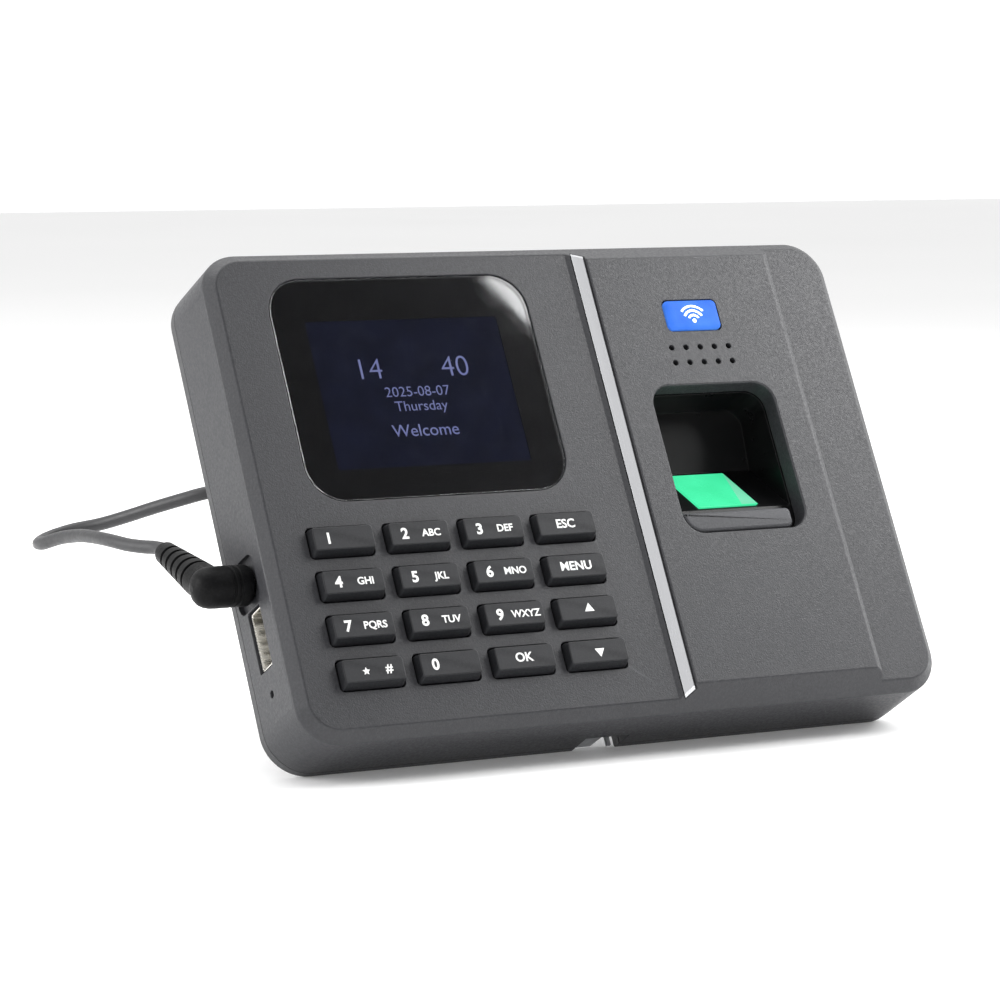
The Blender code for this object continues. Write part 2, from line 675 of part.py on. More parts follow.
def key_mesh():
    """One key, about a point on the shell's face under the middle of its top."""
    root_width, root_height, root_drop = key_root()
    root_centre = (0.0, -root_drop)
    flange_width = root_width + 2 * (KEY_CLEARANCE + KEY_FLANGE)
    flange_height = root_height + 2 * (KEY_CLEARANCE + KEY_FLANGE)
    edge = 0.35 * MM

    def ring(width, height, level, centre=root_centre):
        outline = rounded_rectangle(width, height, KEY_RADIUS, 2, centre)
        return level_ring(outline, level)

    bm = bmesh.new()
    flange_low = KEY_FLANGE_TOP - KEY_FLANGE_THICKNESS
    add_loft(bm, [
        ring(*KEY_STEM, KEY_STEM_END),
        ring(*KEY_STEM, flange_low),
        ring(flange_width, flange_height, flange_low),
        ring(flange_width, flange_height, KEY_FLANGE_TOP),
        ring(root_width, root_height, KEY_FLANGE_TOP),
        ring(root_width, root_height, FACE_TOP_Z),
        ring(KEY_FACE[0], KEY_FACE[1], KEY_HEIGHT - edge, (0.0, 0.0)),
        ring(KEY_FACE[0] - 2 * edge, KEY_FACE[1] - 2 * edge, KEY_HEIGHT, (0.0, 0.0)),
    ])
    return bm


def make_keys(parent):
    material = make_material("key_rubber", (0.045, 0.046, 0.05), 0.6)
    shared = None
    for name, x, y in key_places():
        if shared is None:
            key = make_object(name, key_mesh(), material, parent)
            shared = key.data
        else:
            key = bpy.data.objects.new(name, shared)
            bpy.context.scene.collection.objects.link(key)
            key.parent = parent
        key.location = (x, y, FACE_TOP_Z)


def keypad_outline(margin):
    """Plan that covers all the keys with a margin."""
    columns = len(KEY_NAMES[0])
    rows = len(KEY_NAMES)
    width = (columns - 1) * KEY_PITCH[0] + KEY_FACE[0] + 2 * margin
    height = (rows - 1) * KEY_PITCH[1] + KEY_FACE[1] + 2 * margin
    centre = (KEY_FIRST[0] + (columns - 1) * KEY_PITCH[0] / 2,
              KEY_FIRST[1] - (rows - 1) * KEY_PITCH[1] / 2)
    return rounded_rectangle(width, height, 2 * MM, 3, centre)


def make_keypad_layers(parent):
    rubber = make_material("mat_silicone", (0.12, 0.12, 0.13), 0.8)
    bm = bmesh.new()
    add_prism(bm, keypad_outline(2.4 * MM), MAT_TOP - MAT_THICKNESS, MAT_TOP)
    make_object("keypad_mat", bm, rubber, parent)
    board = make_material("board_green", (0.02, 0.16, 0.07), 0.4)
    bm = bmesh.new()
    add_prism(bm, keypad_outline(3.2 * MM), KEY_BOARD_TOP - BOARD_THICKNESS, KEY_BOARD_TOP)
    make_object("keypad_board", bm, board, parent)


# ---------------------------------------------------------------- sensor

def platen_point(along, below=0.0):
    """y and z along the platen from its lower edge, and square below it."""
    y = PLATEN_FOOT[0] + along * cos(PLATEN_TILT) - below * sin(PLATEN_TILT)
    z = PLATEN_FOOT[1] - along * sin(PLATEN_TILT) - below * cos(PLATEN_TILT)
    return y, z


def prism_outline(grow=0.0):
    """Right-angled section of the sensor prism, with the platen as its long side."""
    low_y, high_z = platen_point(0.0)
    high_y, low_z = platen_point(PLATEN_LENGTH)
    diagonal = grow * 2.4
    return [
        (low_y - grow, high_z + (diagonal if grow else 0.0)),
        (low_y - grow, low_z - grow),
        (high_y + (diagonal if grow else 0.0), low_z - grow),
    ]


def make_finger_guide(parent):
    """Black well behind the window, with a sloped bed that holds the prism."""
    material = make_material("guide_black", (0.012, 0.012, 0.013), 0.3)
    half_width = WINDOW_SIZE[0] / 2 + GUIDE_WALL
    window_low = WINDOW_Y - WINDOW_SIZE[1] / 2
    window_high = WINDOW_Y + WINDOW_SIZE[1] / 2
    bm = bmesh.new()
    add_box(bm, (PANEL_CENTRE_X - half_width, window_low - GUIDE_WALL, -GUIDE_DEPTH),
            (PANEL_CENTRE_X + half_width, window_high + GUIDE_WALL, -FACE_WALL - GAP))
    guide = make_object("finger_guide", bm, material, parent)

    bed_start = -3.4 * MM
    bed_low = platen_point(bed_start, BED_STEP)
    bed_high = platen_point(PLATEN_LENGTH + 1.2 * MM, BED_STEP)
    back_z = bed_high[1] + 2.6 * MM
    well = [
        (bed_low[0], 4 * MM), bed_low, bed_high, (window_high - GAP, back_z),
        (window_high - GAP, 4 * MM)]
    bm = bmesh.new()
    half_well = WINDOW_SIZE[0] / 2 - GAP
    add_prism(bm, well, PANEL_CENTRE_X - half_well, PANEL_CENTRE_X + half_well, axis="x")
    boolean(guide, make_cutter("guide_well_cutter", bm, parent))
    bm = bmesh.new()
    half_pocket = PLATEN_WIDTH / 2 + GAP
    add_prism(bm, prism_outline(GAP), PANEL_CENTRE_X - half_pocket,
              PANEL_CENTRE_X + half_pocket, axis="x")
    boolean(guide, make_cutter("prism_pocket_cutter", bm, parent))


def make_sensor(parent):
    glass = make_material("platen_green", (0.15, 0.9, 0.55), 0.15, glow=0.8)
    bm = bmesh.new()
    half = PLATEN_WIDTH / 2
    add_prism(bm, prism_outline(), PANEL_CENTRE_X - half, PANEL_CENTRE_X + half, axis="x")
    make_object("sensor_prism", bm, glass, parent)

    board = make_material("sensor_board_green", (0.02, 0.14, 0.08), 0.4)
    half_width = WINDOW_SIZE[0] / 2
    bm = bmesh.new()
    add_box(bm, (PANEL_CENTRE_X - half_width, WINDOW_Y - WINDOW_SIZE[1] / 2,
                 -GUIDE_DEPTH - GAP - SENSOR_BOARD_THICKNESS),
            (PANEL_CENTRE_X + half_width, WINDOW_Y + WINDOW_SIZE[1] / 2, -GUIDE_DEPTH - GAP))
    make_object("sensor_board", bm, board, parent)


def make_finger_sill(parent):
    """Bar along the foot of the window, rounded to fit its left corner."""
    material = make_material("sill_plastic", (0.036, 0.038, 0.042), 0.55)
    left = PANEL_CENTRE_X - WINDOW_SIZE[0] / 2 + GAP
    right = PANEL_CENTRE_X + WINDOW_SIZE[0] / 2 - SILL_SHORT
    bottom = WINDOW_Y - WINDOW_SIZE[1] / 2 + GAP
    top = bottom + SILL_HEIGHT
    radius = WINDOW_RADIUS - GAP
    outline = []
    for step in range(7):
        angle = pi + step * pi / 12
        outline.append((left + radius + radius * cos(angle), bottom + radius + radius * sin(angle)))
    for low, corner, start in ((bottom, 1.8 * MM, -pi / 2), (top, 1.2 * MM, 0.0)):
        middle_y = low + corner if low == bottom else low - corner
        for step in range(4):
            angle = start + step * pi / 6
            outline.append((right - corner + corner * cos(angle), middle_y + corner * sin(angle)))
    outline.append((left, top))
    bm = bmesh.new()
    add_prism(bm, outline, -FACE_WALL, PANEL_RISE - SILL_SINK)
    make_object("finger_sill", bm, material, parent)


def make_speaker(parent):
    material = make_material("speaker_steel", (0.3, 0.3, 0.31), 0.4, metallic=0.8)
    top = PANEL_RISE - FACE_WALL - GAP
    window_top = WINDOW_Y + WINDOW_SIZE[1] / 2
    centre = (PANEL_CENTRE_X, window_top + GUIDE_WALL + 2.6 * MM + SPEAKER_RADIUS)
    bm = bmesh.new()
    add_loft(bm, [
        level_ring(circle(SPEAKER_RADIUS * 0.55, 24, centre), top - SPEAKER_THICKNESS),
        level_ring(circle(SPEAKER_RADIUS * 0.55, 24, centre), top - SPEAKER_THICKNESS * 0.55),
        level_ring(circle(SPEAKER_RADIUS, 24, centre), top - SPEAKER_THICKNESS * 0.4),
        level_ring(circle(SPEAKER_RADIUS, 24, centre), top),
    ])
    make_object("speaker", bm, material, parent)


# ---------------------------------------------------------------- ports and boards

def make_dc_jack(parent):
    material = make_material("jack_black", (0.02, 0.02, 0.02), 0.4)
    length, width, height = JACK_BODY
    start = -BODY_WIDTH / 2 + SIDE_WALL + SIDE_DRAFT + 2 * GAP
    centre = (start + length / 2, *JACK_CENTRE)
    bm = bmesh.new()
    centred_box(bm, centre, (length, width, height))
    jack = make_object("dc_jack", bm, material, parent)
    bore_end = start + length - 2 * MM
    rings = []
    bore_radius = PLUG_BARREL_RADIUS + 0.35 * MM
    bm = bmesh.new()
    bore = [(start - 1 * MM, bore_radius), (bore_end, bore_radius),
            (bore_end, PIN_RADIUS), (start + 1.5 * MM, PIN_RADIUS)]
    for x, radius in bore:
        rings.append([(x, y, z) for y, z in circle(radius, 20, JACK_CENTRE)])
    tip = [(start + 1.0 * MM, y, z) for y, z in circle(PIN_RADIUS * 0.5, 20, JACK_CENTRE)]
    rings.append(tip)
    loops = [[bm.verts.new(point) for point in ring] for ring in rings]
    for lower, upper in zip(loops, loops[1:]):
        for index in range(20):
            following = (index + 1) % 20
            bm.faces.new((lower[index], lower[following], upper[following], upper[index]))
    bm.faces.new(loops[0])
    bm.faces.new(loops[-1])
    boolean(jack, make_cutter("jack_bore_cutter", bm, parent))


def make_usb_port(parent):
    shell_material = make_material("usb_nickel", (0.7, 0.68, 0.62), 0.25, metallic=1.0)
    length, width, height = USB_SHELL
    start = -BODY_WIDTH / 2 + SIDE_DRAFT + 0.2 * MM
    centre = (start + length / 2, *USB_CENTRE)
    bm = bmesh.new()
    centred_box(bm, centre, (length, width, height))
    shell = make_object("usb_port_shell", bm, shell_material, parent)
    bm = bmesh.new()
    inner = (length, width - 2 * USB_SHELL_WALL, height - 2 * USB_SHELL_WALL)
    centred_box(bm, (centre[0] - USB_SHELL_WALL, centre[1], centre[2]), inner)
    boolean(shell, make_cutter("usb_port_cutter", bm, parent))

    tongue_material = make_material("usb_tongue_white", (0.85, 0.85, 0.82), 0.45)
    tongue_height = USB_TONGUE_THICKNESS
    inner_top = USB_CENTRE[1] + inner[2] / 2 - GAP
    end = start + length - USB_SHELL_WALL - GAP
    bm = bmesh.new()
    add_box(bm, (start + 1.2 * MM, USB_CENTRE[0] - inner[1] / 2 + 0.9 * MM, inner_top - tongue_height),
            (end, USB_CENTRE[0] + inner[1] / 2 - 0.9 * MM, inner_top))
    make_object("usb_port_tongue", bm, tongue_material, parent)


def make_reset_switch(parent):
    body_material = make_material("switch_black", (0.03, 0.03, 0.03), 0.5)
    plunger_material = make_material("plunger_white", (0.8, 0.8, 0.78), 0.4)
    wall_inside = -BODY_WIDTH / 2 + SIDE_WALL + SIDE_DRAFT
    plunger_start = wall_inside + GAP
    travel_room = RESET_TRAVEL + GAP
    plunger_end = plunger_start + RESET_PLUNGER_LENGTH
    bm = bmesh.new()
    rings = []
    for x, radius in ((0.0, 0.8), (0.25 * MM, 1.0), (RESET_PLUNGER_LENGTH, 1.0)):
        rings.append([(x, y, z) for y, z in circle(RESET_PLUNGER_RADIUS * radius, 20)])
    add_loft(bm, rings)
    plunger = make_object("reset_plunger", bm, plunger_material, parent)
    plunger.location = (plunger_start, *RESET_CENTRE)

    length, width, height = SWITCH_SIZE
    start = plunger_end - 1.2 * MM
    bm = bmesh.new()
    centred_box(bm, (start + length / 2, *RESET_CENTRE), (length, width, height))
    body = make_object("reset_switch", bm, body_material, parent)
    bm = bmesh.new()
    well = circle(RESET_PLUNGER_RADIUS + GAP, 20, RESET_CENTRE)
    add_prism(bm, well, start - 1 * MM, plunger_end + travel_room, axis="x")
    boolean(body, make_cutter("reset_well_cutter", bm, parent))


def make_main_board(parent):
    """Board behind the display and the keypad, cut away round the sunk jack."""
    material = make_material("main_board_green", (0.015, 0.13, 0.06), 0.4)
    left = -BODY_WIDTH / 2 + SIDE_WALL + SIDE_DRAFT + 1.0 * MM
    right = MAIN_BOARD_RIGHT
    low_edge = BOSS_INSET[1] + BOSS_RADIUS + 1.0 * MM
    high_edge = BODY_HEIGHT - BOSS_INSET[1] - BOSS_RADIUS - 1.0 * MM
    jack_right = -BODY_WIDTH / 2 + SIDE_WALL + SIDE_DRAFT + 3 * GAP + JACK_BODY[0]
    jack_low = JACK_CENTRE[0] - JACK_BODY[1] / 2 - GAP
    jack_high = JACK_CENTRE[0] + JACK_BODY[1] / 2 + GAP
    outline = [
        (left, low_edge), (right, low_edge), (right, high_edge), (left, high_edge),
        (left, jack_high), (jack_right, jack_high), (jack_right, jack_low), (left, jack_low)]
    bm = bmesh.new()
    add_prism(bm, outline, MAIN_BOARD_TOP - MAIN_BOARD_THICKNESS, MAIN_BOARD_TOP)
    make_object("main_board", bm, material, parent)


def make_board_parts(parent):
    foil = make_material("battery_foil", (0.55, 0.57, 0.6), 0.35, metallic=0.6)
    bm = bmesh.new()
    battery_z = MAIN_BOARD_TOP + GAP + BATTERY_SIZE[2] / 2
    outline = rounded_rectangle(BATTERY_SIZE[0], BATTERY_SIZE[1], 2 * MM, 3,
                                (LENS_CENTRE[0], SCREEN_CENTRE_Y))
    add_prism(bm, outline, battery_z - BATTERY_SIZE[2] / 2, battery_z + BATTERY_SIZE[2] / 2)
    make_object("backup_battery", bm, foil, parent)

    cell = make_material("cell_steel", (0.75, 0.75, 0.76), 0.3, metallic=1.0)
    bm = bmesh.new()
    base = MAIN_BOARD_TOP + GAP
    centre = (-8.0 * MM, 24.0 * MM)
    add_prism(bm, circle(CELL_RADIUS, SIDES_ROUND, centre), base, base + CELL_THICKNESS)
    make_object("clock_cell", bm, cell, parent)

    chip = make_material("chip_black", (0.02, 0.02, 0.022), 0.45)
    bm = bmesh.new()
    centred_box(bm, (-40.0 * MM, 30.0 * MM, base + CHIP_SIZE[2] / 2), CHIP_SIZE)
    make_object("processor", bm, chip, parent)


# ---------------------------------------------------------------- desk stand

def stand_path():
    """Middle line of the folded sheet, from the plate's lower end to the foot's tip."""
    plate_z = -BODY_DEPTH - GAP - STAND_SHEET / 2
    foot_z = PAD_THICKNESS + GAP + STAND_SHEET / 2
    heel = POSE_Y + HEEL_Y
    foot_y = heel + STAND_REACH - STAND_FOLD
    return [
        (STAND_PLATE_BOTTOM, plate_z),
        (STAND_PLATE_TOP, plate_z),
        to_face(foot_y, foot_z),
        to_face(foot_y - STAND_FOOT, foot_z),
    ]


def sheet_section(path, thickness):
    """Closed outline of a sheet folded along a path, with mitred corners."""
    left = []
    right = []
    for index, point in enumerate(path):
        here = Vector(point)
        before = (here - Vector(path[index - 1])).normalized() if index else None
        after = (Vector(path[index + 1]) - here).normalized() if index + 1 < len(path) else None
        first = before or after
        second = after or before
        bisector = Vector((-(first.y + second.y), first.x + second.x)).normalized()
        reach = thickness / 2 / bisector.dot(Vector((-first.y, first.x)))
        left.append(here + bisector * reach)
        right.append(here - bisector * reach)
    return [tuple(point) for point in left + right[::-1]]


def make_stand(parent):
    """Folded sheet: a plate on the cover's back, a leg, a foot, and a hook in the notch."""
    material = make_material("stand_steel", (0.62, 0.63, 0.64), 0.35, metallic=1.0)
    bm = bmesh.new()
    low_x = STAND_CENTRE_X - STAND_WIDTH / 2
    high_x = STAND_CENTRE_X + STAND_WIDTH / 2
    section = sheet_section(stand_path(), STAND_SHEET)
    add_prism(bm, section, low_x, high_x, axis="x")
    stand = make_object("desk_stand", bm, material, parent)

    plate_front = -BODY_DEPTH - GAP
    plate_back = plate_front - STAND_SHEET
    hook_low = HOOK_CENTRE_X - HOOK_WIDTH / 2
    hook_high = HOOK_CENTRE_X + HOOK_WIDTH / 2
    hook_front = -BODY_DEPTH + NOTCH_DEPTH - GAP
    neck = [
        (HOOK_LEVEL, plate_back), (STAND_PLATE_BOTTOM + 2 * MM, plate_back),
        (STAND_PLATE_BOTTOM + 2 * MM, plate_front), (HOOK_LEVEL + 0.8 * MM, plate_front),
        (HOOK_LEVEL + 0.8 * MM, hook_front), (HOOK_LEVEL, hook_front)]
    bm = bmesh.new()
    add_prism(bm, neck, hook_low, hook_high, axis="x")
    boolean(stand, make_cutter("stand_hook_guide", bm, parent), "UNION")
    bm = bmesh.new()
    add_box(bm, (hook_high - TOOTH_WIDTH, HOOK_LEVEL - TOOTH_HEIGHT, hook_front - TOOTH_WIDTH),
            (hook_high, HOOK_LEVEL + 0.4 * MM, hook_front))
    boolean(stand, make_cutter("stand_tooth_guide", bm, parent), "UNION")

    bm = bmesh.new()
    for x in stand_screw_places():
        bore = circle(SCREW_RADIUS + GAP, 16, (x, STAND_SCREW_Y))
        add_prism(bm, bore, plate_back - 1 * MM, plate_front + 1 * MM)
    window_low = STAND_PLATE_BOTTOM + 14 * MM
    window = rounded_rectangle(36 * MM, 22 * MM, 4 * MM, 4, (STAND_CENTRE_X, window_low + 11 * MM))
    add_prism(bm, window, plate_back - 1 * MM, plate_front + 1 * MM)
    boolean(stand, make_cutter("stand_hole_cutter", bm, parent))


def make_stand_screws(parent, material):
    seat = -BODY_DEPTH - GAP - STAND_SHEET - GAP
    for side, x in zip(("left", "right"), stand_screw_places()):
        make_screw(f"stand_screw_{side}", (x, STAND_SCREW_Y), seat - SCREW_HEAD, seat,
                   SCREW_HEAD + STAND_SHEET + 2 * GAP + COVER_PLATE - 1.0 * MM, parent, material)


def make_stand_pads():
    material = make_material("pad_rubber", (0.03, 0.03, 0.03), 0.85)
    heel = POSE_Y + HEEL_Y
    middle_y = heel + STAND_REACH - STAND_FOLD - STAND_FOOT / 2
    for name, side in (("stand_pad_left", -1), ("stand_pad_right", 1)):
        x = STAND_CENTRE_X + side * (STAND_WIDTH / 2 - PAD_INSET)
        outline = rounded_rectangle(*PAD_SIZE, 2 * MM, 3, (x, middle_y))
        bm = bmesh.new()
        add_prism(bm, outline, 0.0, PAD_THICKNESS)
        make_object(name, bm, material, None)


def leg_point(height, beyond):
    """World y of the leg's rear surface at a height, moved square off it by beyond."""
    top_y, top_z = stand_path()[1]
    world_top = Vector((
        top_y * SIN_LEAN - top_z * COS_LEAN + POSE_Y,
        top_y * COS_LEAN + top_z * SIN_LEAN + POSE_Z))
    foot = Vector((POSE_Y + HEEL_Y + STAND_REACH - STAND_FOLD,
                   PAD_THICKNESS + GAP + STAND_SHEET / 2))
    along = (foot - world_top).normalized()
    outward = Vector((-along.y, along.x))
    share = (world_top.y - height) / (world_top.y - foot.y)
    surface = world_top.lerp(foot, share) + outward * (STAND_SHEET / 2 + beyond)
    return surface, along, outward


def make_cord_clip():
    """Clip on the back of the leg, with a round passage for the cord."""
    material = make_material("clip_nylon", (0.025, 0.025, 0.027), 0.5)
    width, depth = CLIP_SIZE
    surface, along, outward = leg_point(CLIP_HEIGHT, GAP)
    centre = surface + outward * (depth / 2)
    half = 4.2 * MM
    corners = []
    for a, b in ((-1, -1), (1, -1), (1, 1), (-1, 1)):
        corners.append(tuple(centre + along * (a * half) + outward * (b * depth / 2)))
    bm = bmesh.new()
    add_prism(bm, corners, CLIP_X - width / 2, CLIP_X + width / 2, axis="x")
    clip = make_object("cord_clip", bm, material, None)
    bm = bmesh.new()
    passage = circle(CORD_DIAMETER / 2 + GAP + 0.15 * MM, 20, tuple(centre))
    add_prism(bm, passage, CLIP_X - width, CLIP_X + width, axis="x")
    boolean(clip, make_cutter("cord_clip_cutter", bm, None))
    return centre


# ---------------------------------------------------------------- supply lead

def jack_world():
    y, z = JACK_CENTRE
    return (-BODY_WIDTH / 2,
            y * SIN_LEAN - z * COS_LEAN + POSE_Y,
            y * COS_LEAN + z * SIN_LEAN + POSE_Z)


def plug_layout():
    """Places of the plug: its leg's root and tip, and the leg's direction."""
    jack = Vector(jack_world())
    shoulder_x = jack.x + JACK_RECESS_DEPTH - GAP
    root = Vector((shoulder_x - PLUG_LENGTH + PLUG_RADIUS, jack.y, jack.z))
    direction = Vector((0.0, cos(PLUG_LEG_RISE), sin(PLUG_LEG_RISE)))
    return shoulder_x, root, root + direction * PLUG_LEG_LENGTH, direction


def make_dc_plug():
    """Right-angled moulded plug: a round shoulder, and a leg that tapers to the cord."""
    material = make_material("plug_black", (0.035, 0.035, 0.037), 0.5)
    shoulder_x, root, tip, direction = plug_layout()
    side = 0.8 * MM
    bm = bmesh.new()
    rings = []
    for x, radius in (
        (shoulder_x, PLUG_RADIUS - side), (shoulder_x - side, PLUG_RADIUS),
        (shoulder_x - PLUG_LENGTH + side, PLUG_RADIUS),
        (shoulder_x - PLUG_LENGTH, PLUG_RADIUS - side),
    ):
        rings.append([(x, y, z) for y, z in circle(radius, 24, (root.y, root.z))])
    add_loft(bm, rings)
    plug = make_object("dc_plug", bm, material, None)

    across = Vector((1.0, 0.0, 0.0))
    up = direction.cross(across).normalized()
    rings = []
    taper = (
        (0.5, 0.92, 0.86), (7.0, 0.92, 0.86), (14.0, 0.86, 0.8), (20.0, 0.74, 0.7),
        (PLUG_LEG_LENGTH / MM, PLUG_TIP_RADIUS / PLUG_RADIUS, PLUG_TIP_RADIUS / PLUG_RADIUS))
    for along, wide, tall in taper:
        middle = root + direction * (along * MM)
        ring = []
        for a, b in circle(PLUG_RADIUS, 24):
            ring.append(tuple(middle + across * (a * wide) + up * (b * tall)))
        rings.append(ring)
    bm = bmesh.new()
    add_loft(bm, rings)
    boolean(plug, make_cutter("dc_plug_leg_guide", bm, None), "UNION")

    metal = make_material("plug_barrel_nickel", (0.7, 0.7, 0.68), 0.25, metallic=1.0)
    rings = []
    start = shoulder_x + GAP
    end = start + PLUG_BARREL_LENGTH
    wall = 0.6 * MM
    for x, radius in (
        (start, PLUG_BARREL_RADIUS), (end, PLUG_BARREL_RADIUS),
        (end, PLUG_BARREL_RADIUS - wall), (start + wall, PLUG_BARREL_RADIUS - wall),
    ):
        rings.append([(x, y, z) for y, z in circle(radius, 20, (root.y, root.z))])
    bm = bmesh.new()
    add_loft(bm, rings)
    make_object("dc_plug_barrel", bm, metal, None)


def smooth_points(knots, spacing):
    """Points at even steps on a centripetal curve through hand-chosen knots."""
    points = [Vector(knot) for knot in knots]
    extended = [2 * points[0] - points[1], *points, 2 * points[-1] - points[-2]]
    dense = []
    for first, second, third, fourth in zip(extended, extended[1:], extended[2:], extended[3:]):
        times = [0.0]
        for start, end in ((first, second), (second, third), (third, fourth)):
            times.append(times[-1] + max((end - start).length, 1e-9) ** 0.5)
        t0, t1, t2, t3 = times
        for step in range(24):
            t = t1 + (t2 - t1) * step / 24
            a1 = first.lerp(second, (t - t0) / (t1 - t0))
            a2 = second.lerp(third, (t - t1) / (t2 - t1))
            a3 = third.lerp(fourth, (t - t2) / (t3 - t2))
            b1 = a1.lerp(a2, (t - t0) / (t2 - t0))
            b2 = a2.lerp(a3, (t - t1) / (t3 - t1))
            dense.append(b1.lerp(b2, (t - t1) / (t2 - t1)))
    dense.append(points[-1])
    total = sum((b - a).length for a, b in zip(dense, dense[1:]))
    count = max(2, ceil(total / spacing))
    result = [dense[0]]
    walked = 0.0
    target = total / count
    for start, end in zip(dense, dense[1:]):
        length = (end - start).length
        while walked + length >= target - 1e-12 and len(result) < count:
            share = (target - walked) / length if length else 0.0
            result.append(start.lerp(end, min(max(share, 0.0), 1.0)))
            target += total / count
        walked += length
    result.append(dense[-1])
    return result


def make_tube(name, knots, material):
    curve = bpy.data.curves.new(name, "CURVE")
    curve.dimensions = "3D"
    curve.bevel_depth = CORD_DIAMETER / 2
    curve.bevel_resolution = 2
    curve.use_fill_caps = True
    points = smooth_points(knots, 2.2 * CORD_DIAMETER)
    spline = curve.splines.new("POLY")
    spline.points.add(len(points) - 1)
    for place, point in zip(spline.points, points):
        place.co = (*point, 1.0)
    tube = bpy.data.objects.new(name, curve)
    bpy.context.scene.collection.objects.link(tube)
    curve.materials.append(material)
    return tube


def lead_knots(clip_centre):
    """Hand-chosen route of the lead, plug to coil, in world millimetres."""
    _shoulder, _root, tip, direction = plug_layout()
    start = tip + direction * GAP
    loop = [
        (-92.9, 12.9, 47.0), (-94.9, 19.2, 46.9), (-96.7, 26.8, 47.3), (-97.5, 37.2, 47.1),
        (-97.7, 43.6, 46.6), (-98.9, 53.1, 45.1), (-100.4, 60.1, 43.2), (-99.8, 65.1, 42.6),
        (-96.1, 68.4, 43.4), (-91.0, 67.1, 45.0), (-85.2, 62.1, 46.7), (-80.2, 55.1, 49.3),
        (-77.1, 50.1, 51.2), (-72.2, 43.1, 53.8), (-67.6, 38.3, 55.7), (-60.4, 34.9, 56.8),
        (-51.0, 34.4, 57.3)]
    knots = [tuple(start), tuple(start + direction * 3 * MM)]
    shift = tip - Vector(LOOP_ORIGIN)
    for index, (x, y, z) in enumerate(loop):
        share = max(0.0, 1 - index / LOOP_FREE)
        knots.append(tuple(Vector((x * MM, y * MM, z * MM)) + shift * share))
    for beside in (-7, -4, 0, 4, 7):
        knots.append((CLIP_X + beside * MM, clip_centre.x, clip_centre.y))
    fall = [(-16.0, 38.0, 53.0), (-10.5, 43.5, 42.0), (-7.8, 50.0, 30.0), (-6.2, 57.5, 19.5),
            (-5.0, 66.0, 12.8), (-4.3, 75.0, 9.9)]
    knots += [(x * MM, y * MM, z * MM) for x, y, z in fall]
    outside = COIL_CENTRE[0] - COIL_MIDDLE_RADIUS - COIL_WIDTH / 2
    top_turn = COIL_BASE + COIL_HEIGHT - CORD_DIAMETER / 2
    knots.append((outside - CORD_DIAMETER / 2 - GAP, COIL_CENTRE[1] - 3 * MM, top_turn))
    return knots


def make_lead(clip_centre):
    cord_material = make_material("cord_black", (0.03, 0.03, 0.032), 0.5)
    make_tube("supply_cord", lead_knots(clip_centre), cord_material)

    bm = bmesh.new()
    inner = COIL_MIDDLE_RADIUS - COIL_WIDTH / 2
    outer = COIL_MIDDLE_RADIUS + COIL_WIDTH / 2
    edge = CORD_DIAMETER / 2
    base = COIL_BASE
    profile = [
        (outer - edge, base), (outer, base + edge), (outer, base + COIL_HEIGHT - edge),
        (outer - edge, base + COIL_HEIGHT), (inner + edge, base + COIL_HEIGHT),
        (inner, base + COIL_HEIGHT - edge), (inner, base + edge), (inner + edge, base)]
    loops = []
    for step in range(SIDES_ROUND):
        angle = 2 * pi * step / SIDES_ROUND
        loop = []
        for radius, z in profile:
            x = COIL_CENTRE[0] + radius * cos(angle)
            y = COIL_CENTRE[1] + radius * sin(angle)
            loop.append(bm.verts.new((x, y, z)))
        loops.append(loop)
    for index, loop in enumerate(loops):
        following = loops[(index + 1) % SIDES_ROUND]
        for corner in range(len(profile)):
            after = (corner + 1) % len(profile)
            bm.faces.new((loop[corner], loop[after], following[after], following[corner]))
    make_object("cord_coil", bm, cord_material, None)

    tie_material = make_material("tie_velcro", (0.02, 0.02, 0.022), 0.9)
    bm = bmesh.new()
    bow = inner - (inner ** 2 - (TIE_WIDTH / 2) ** 2) ** 0.5
    room = GAP + bow + inner * (1 - cos(pi / SIDES_ROUND))
    hole = [
        (inner - room, -1 * MM), (outer + room, -1 * MM),
        (outer + room, base + COIL_HEIGHT + room), (inner - room, base + COIL_HEIGHT + room)]
    rim = [
        (inner - room - TIE_WALL, 0.0), (outer + room + TIE_WALL, 0.0),
        (outer + room + TIE_WALL, base + COIL_HEIGHT + room + TIE_WALL),
        (inner - room - TIE_WALL, base + COIL_HEIGHT + room + TIE_WALL)]
    shift = COIL_CENTRE[1]
    low_x = COIL_CENTRE[0] - TIE_WIDTH / 2
    high_x = COIL_CENTRE[0] + TIE_WIDTH / 2
    add_prism(bm, [(y + shift, z) for y, z in rim], low_x, high_x, axis="x")
    tie = make_object("cord_tie", bm, tie_material, None)
    bm = bmesh.new()
    add_prism(bm, [(y + shift, z) for y, z in hole], low_x - 1 * MM, high_x + 1 * MM, axis="x")
    boolean(tie, make_cutter("cord_tie_cutter", bm, None))
    return cord_material


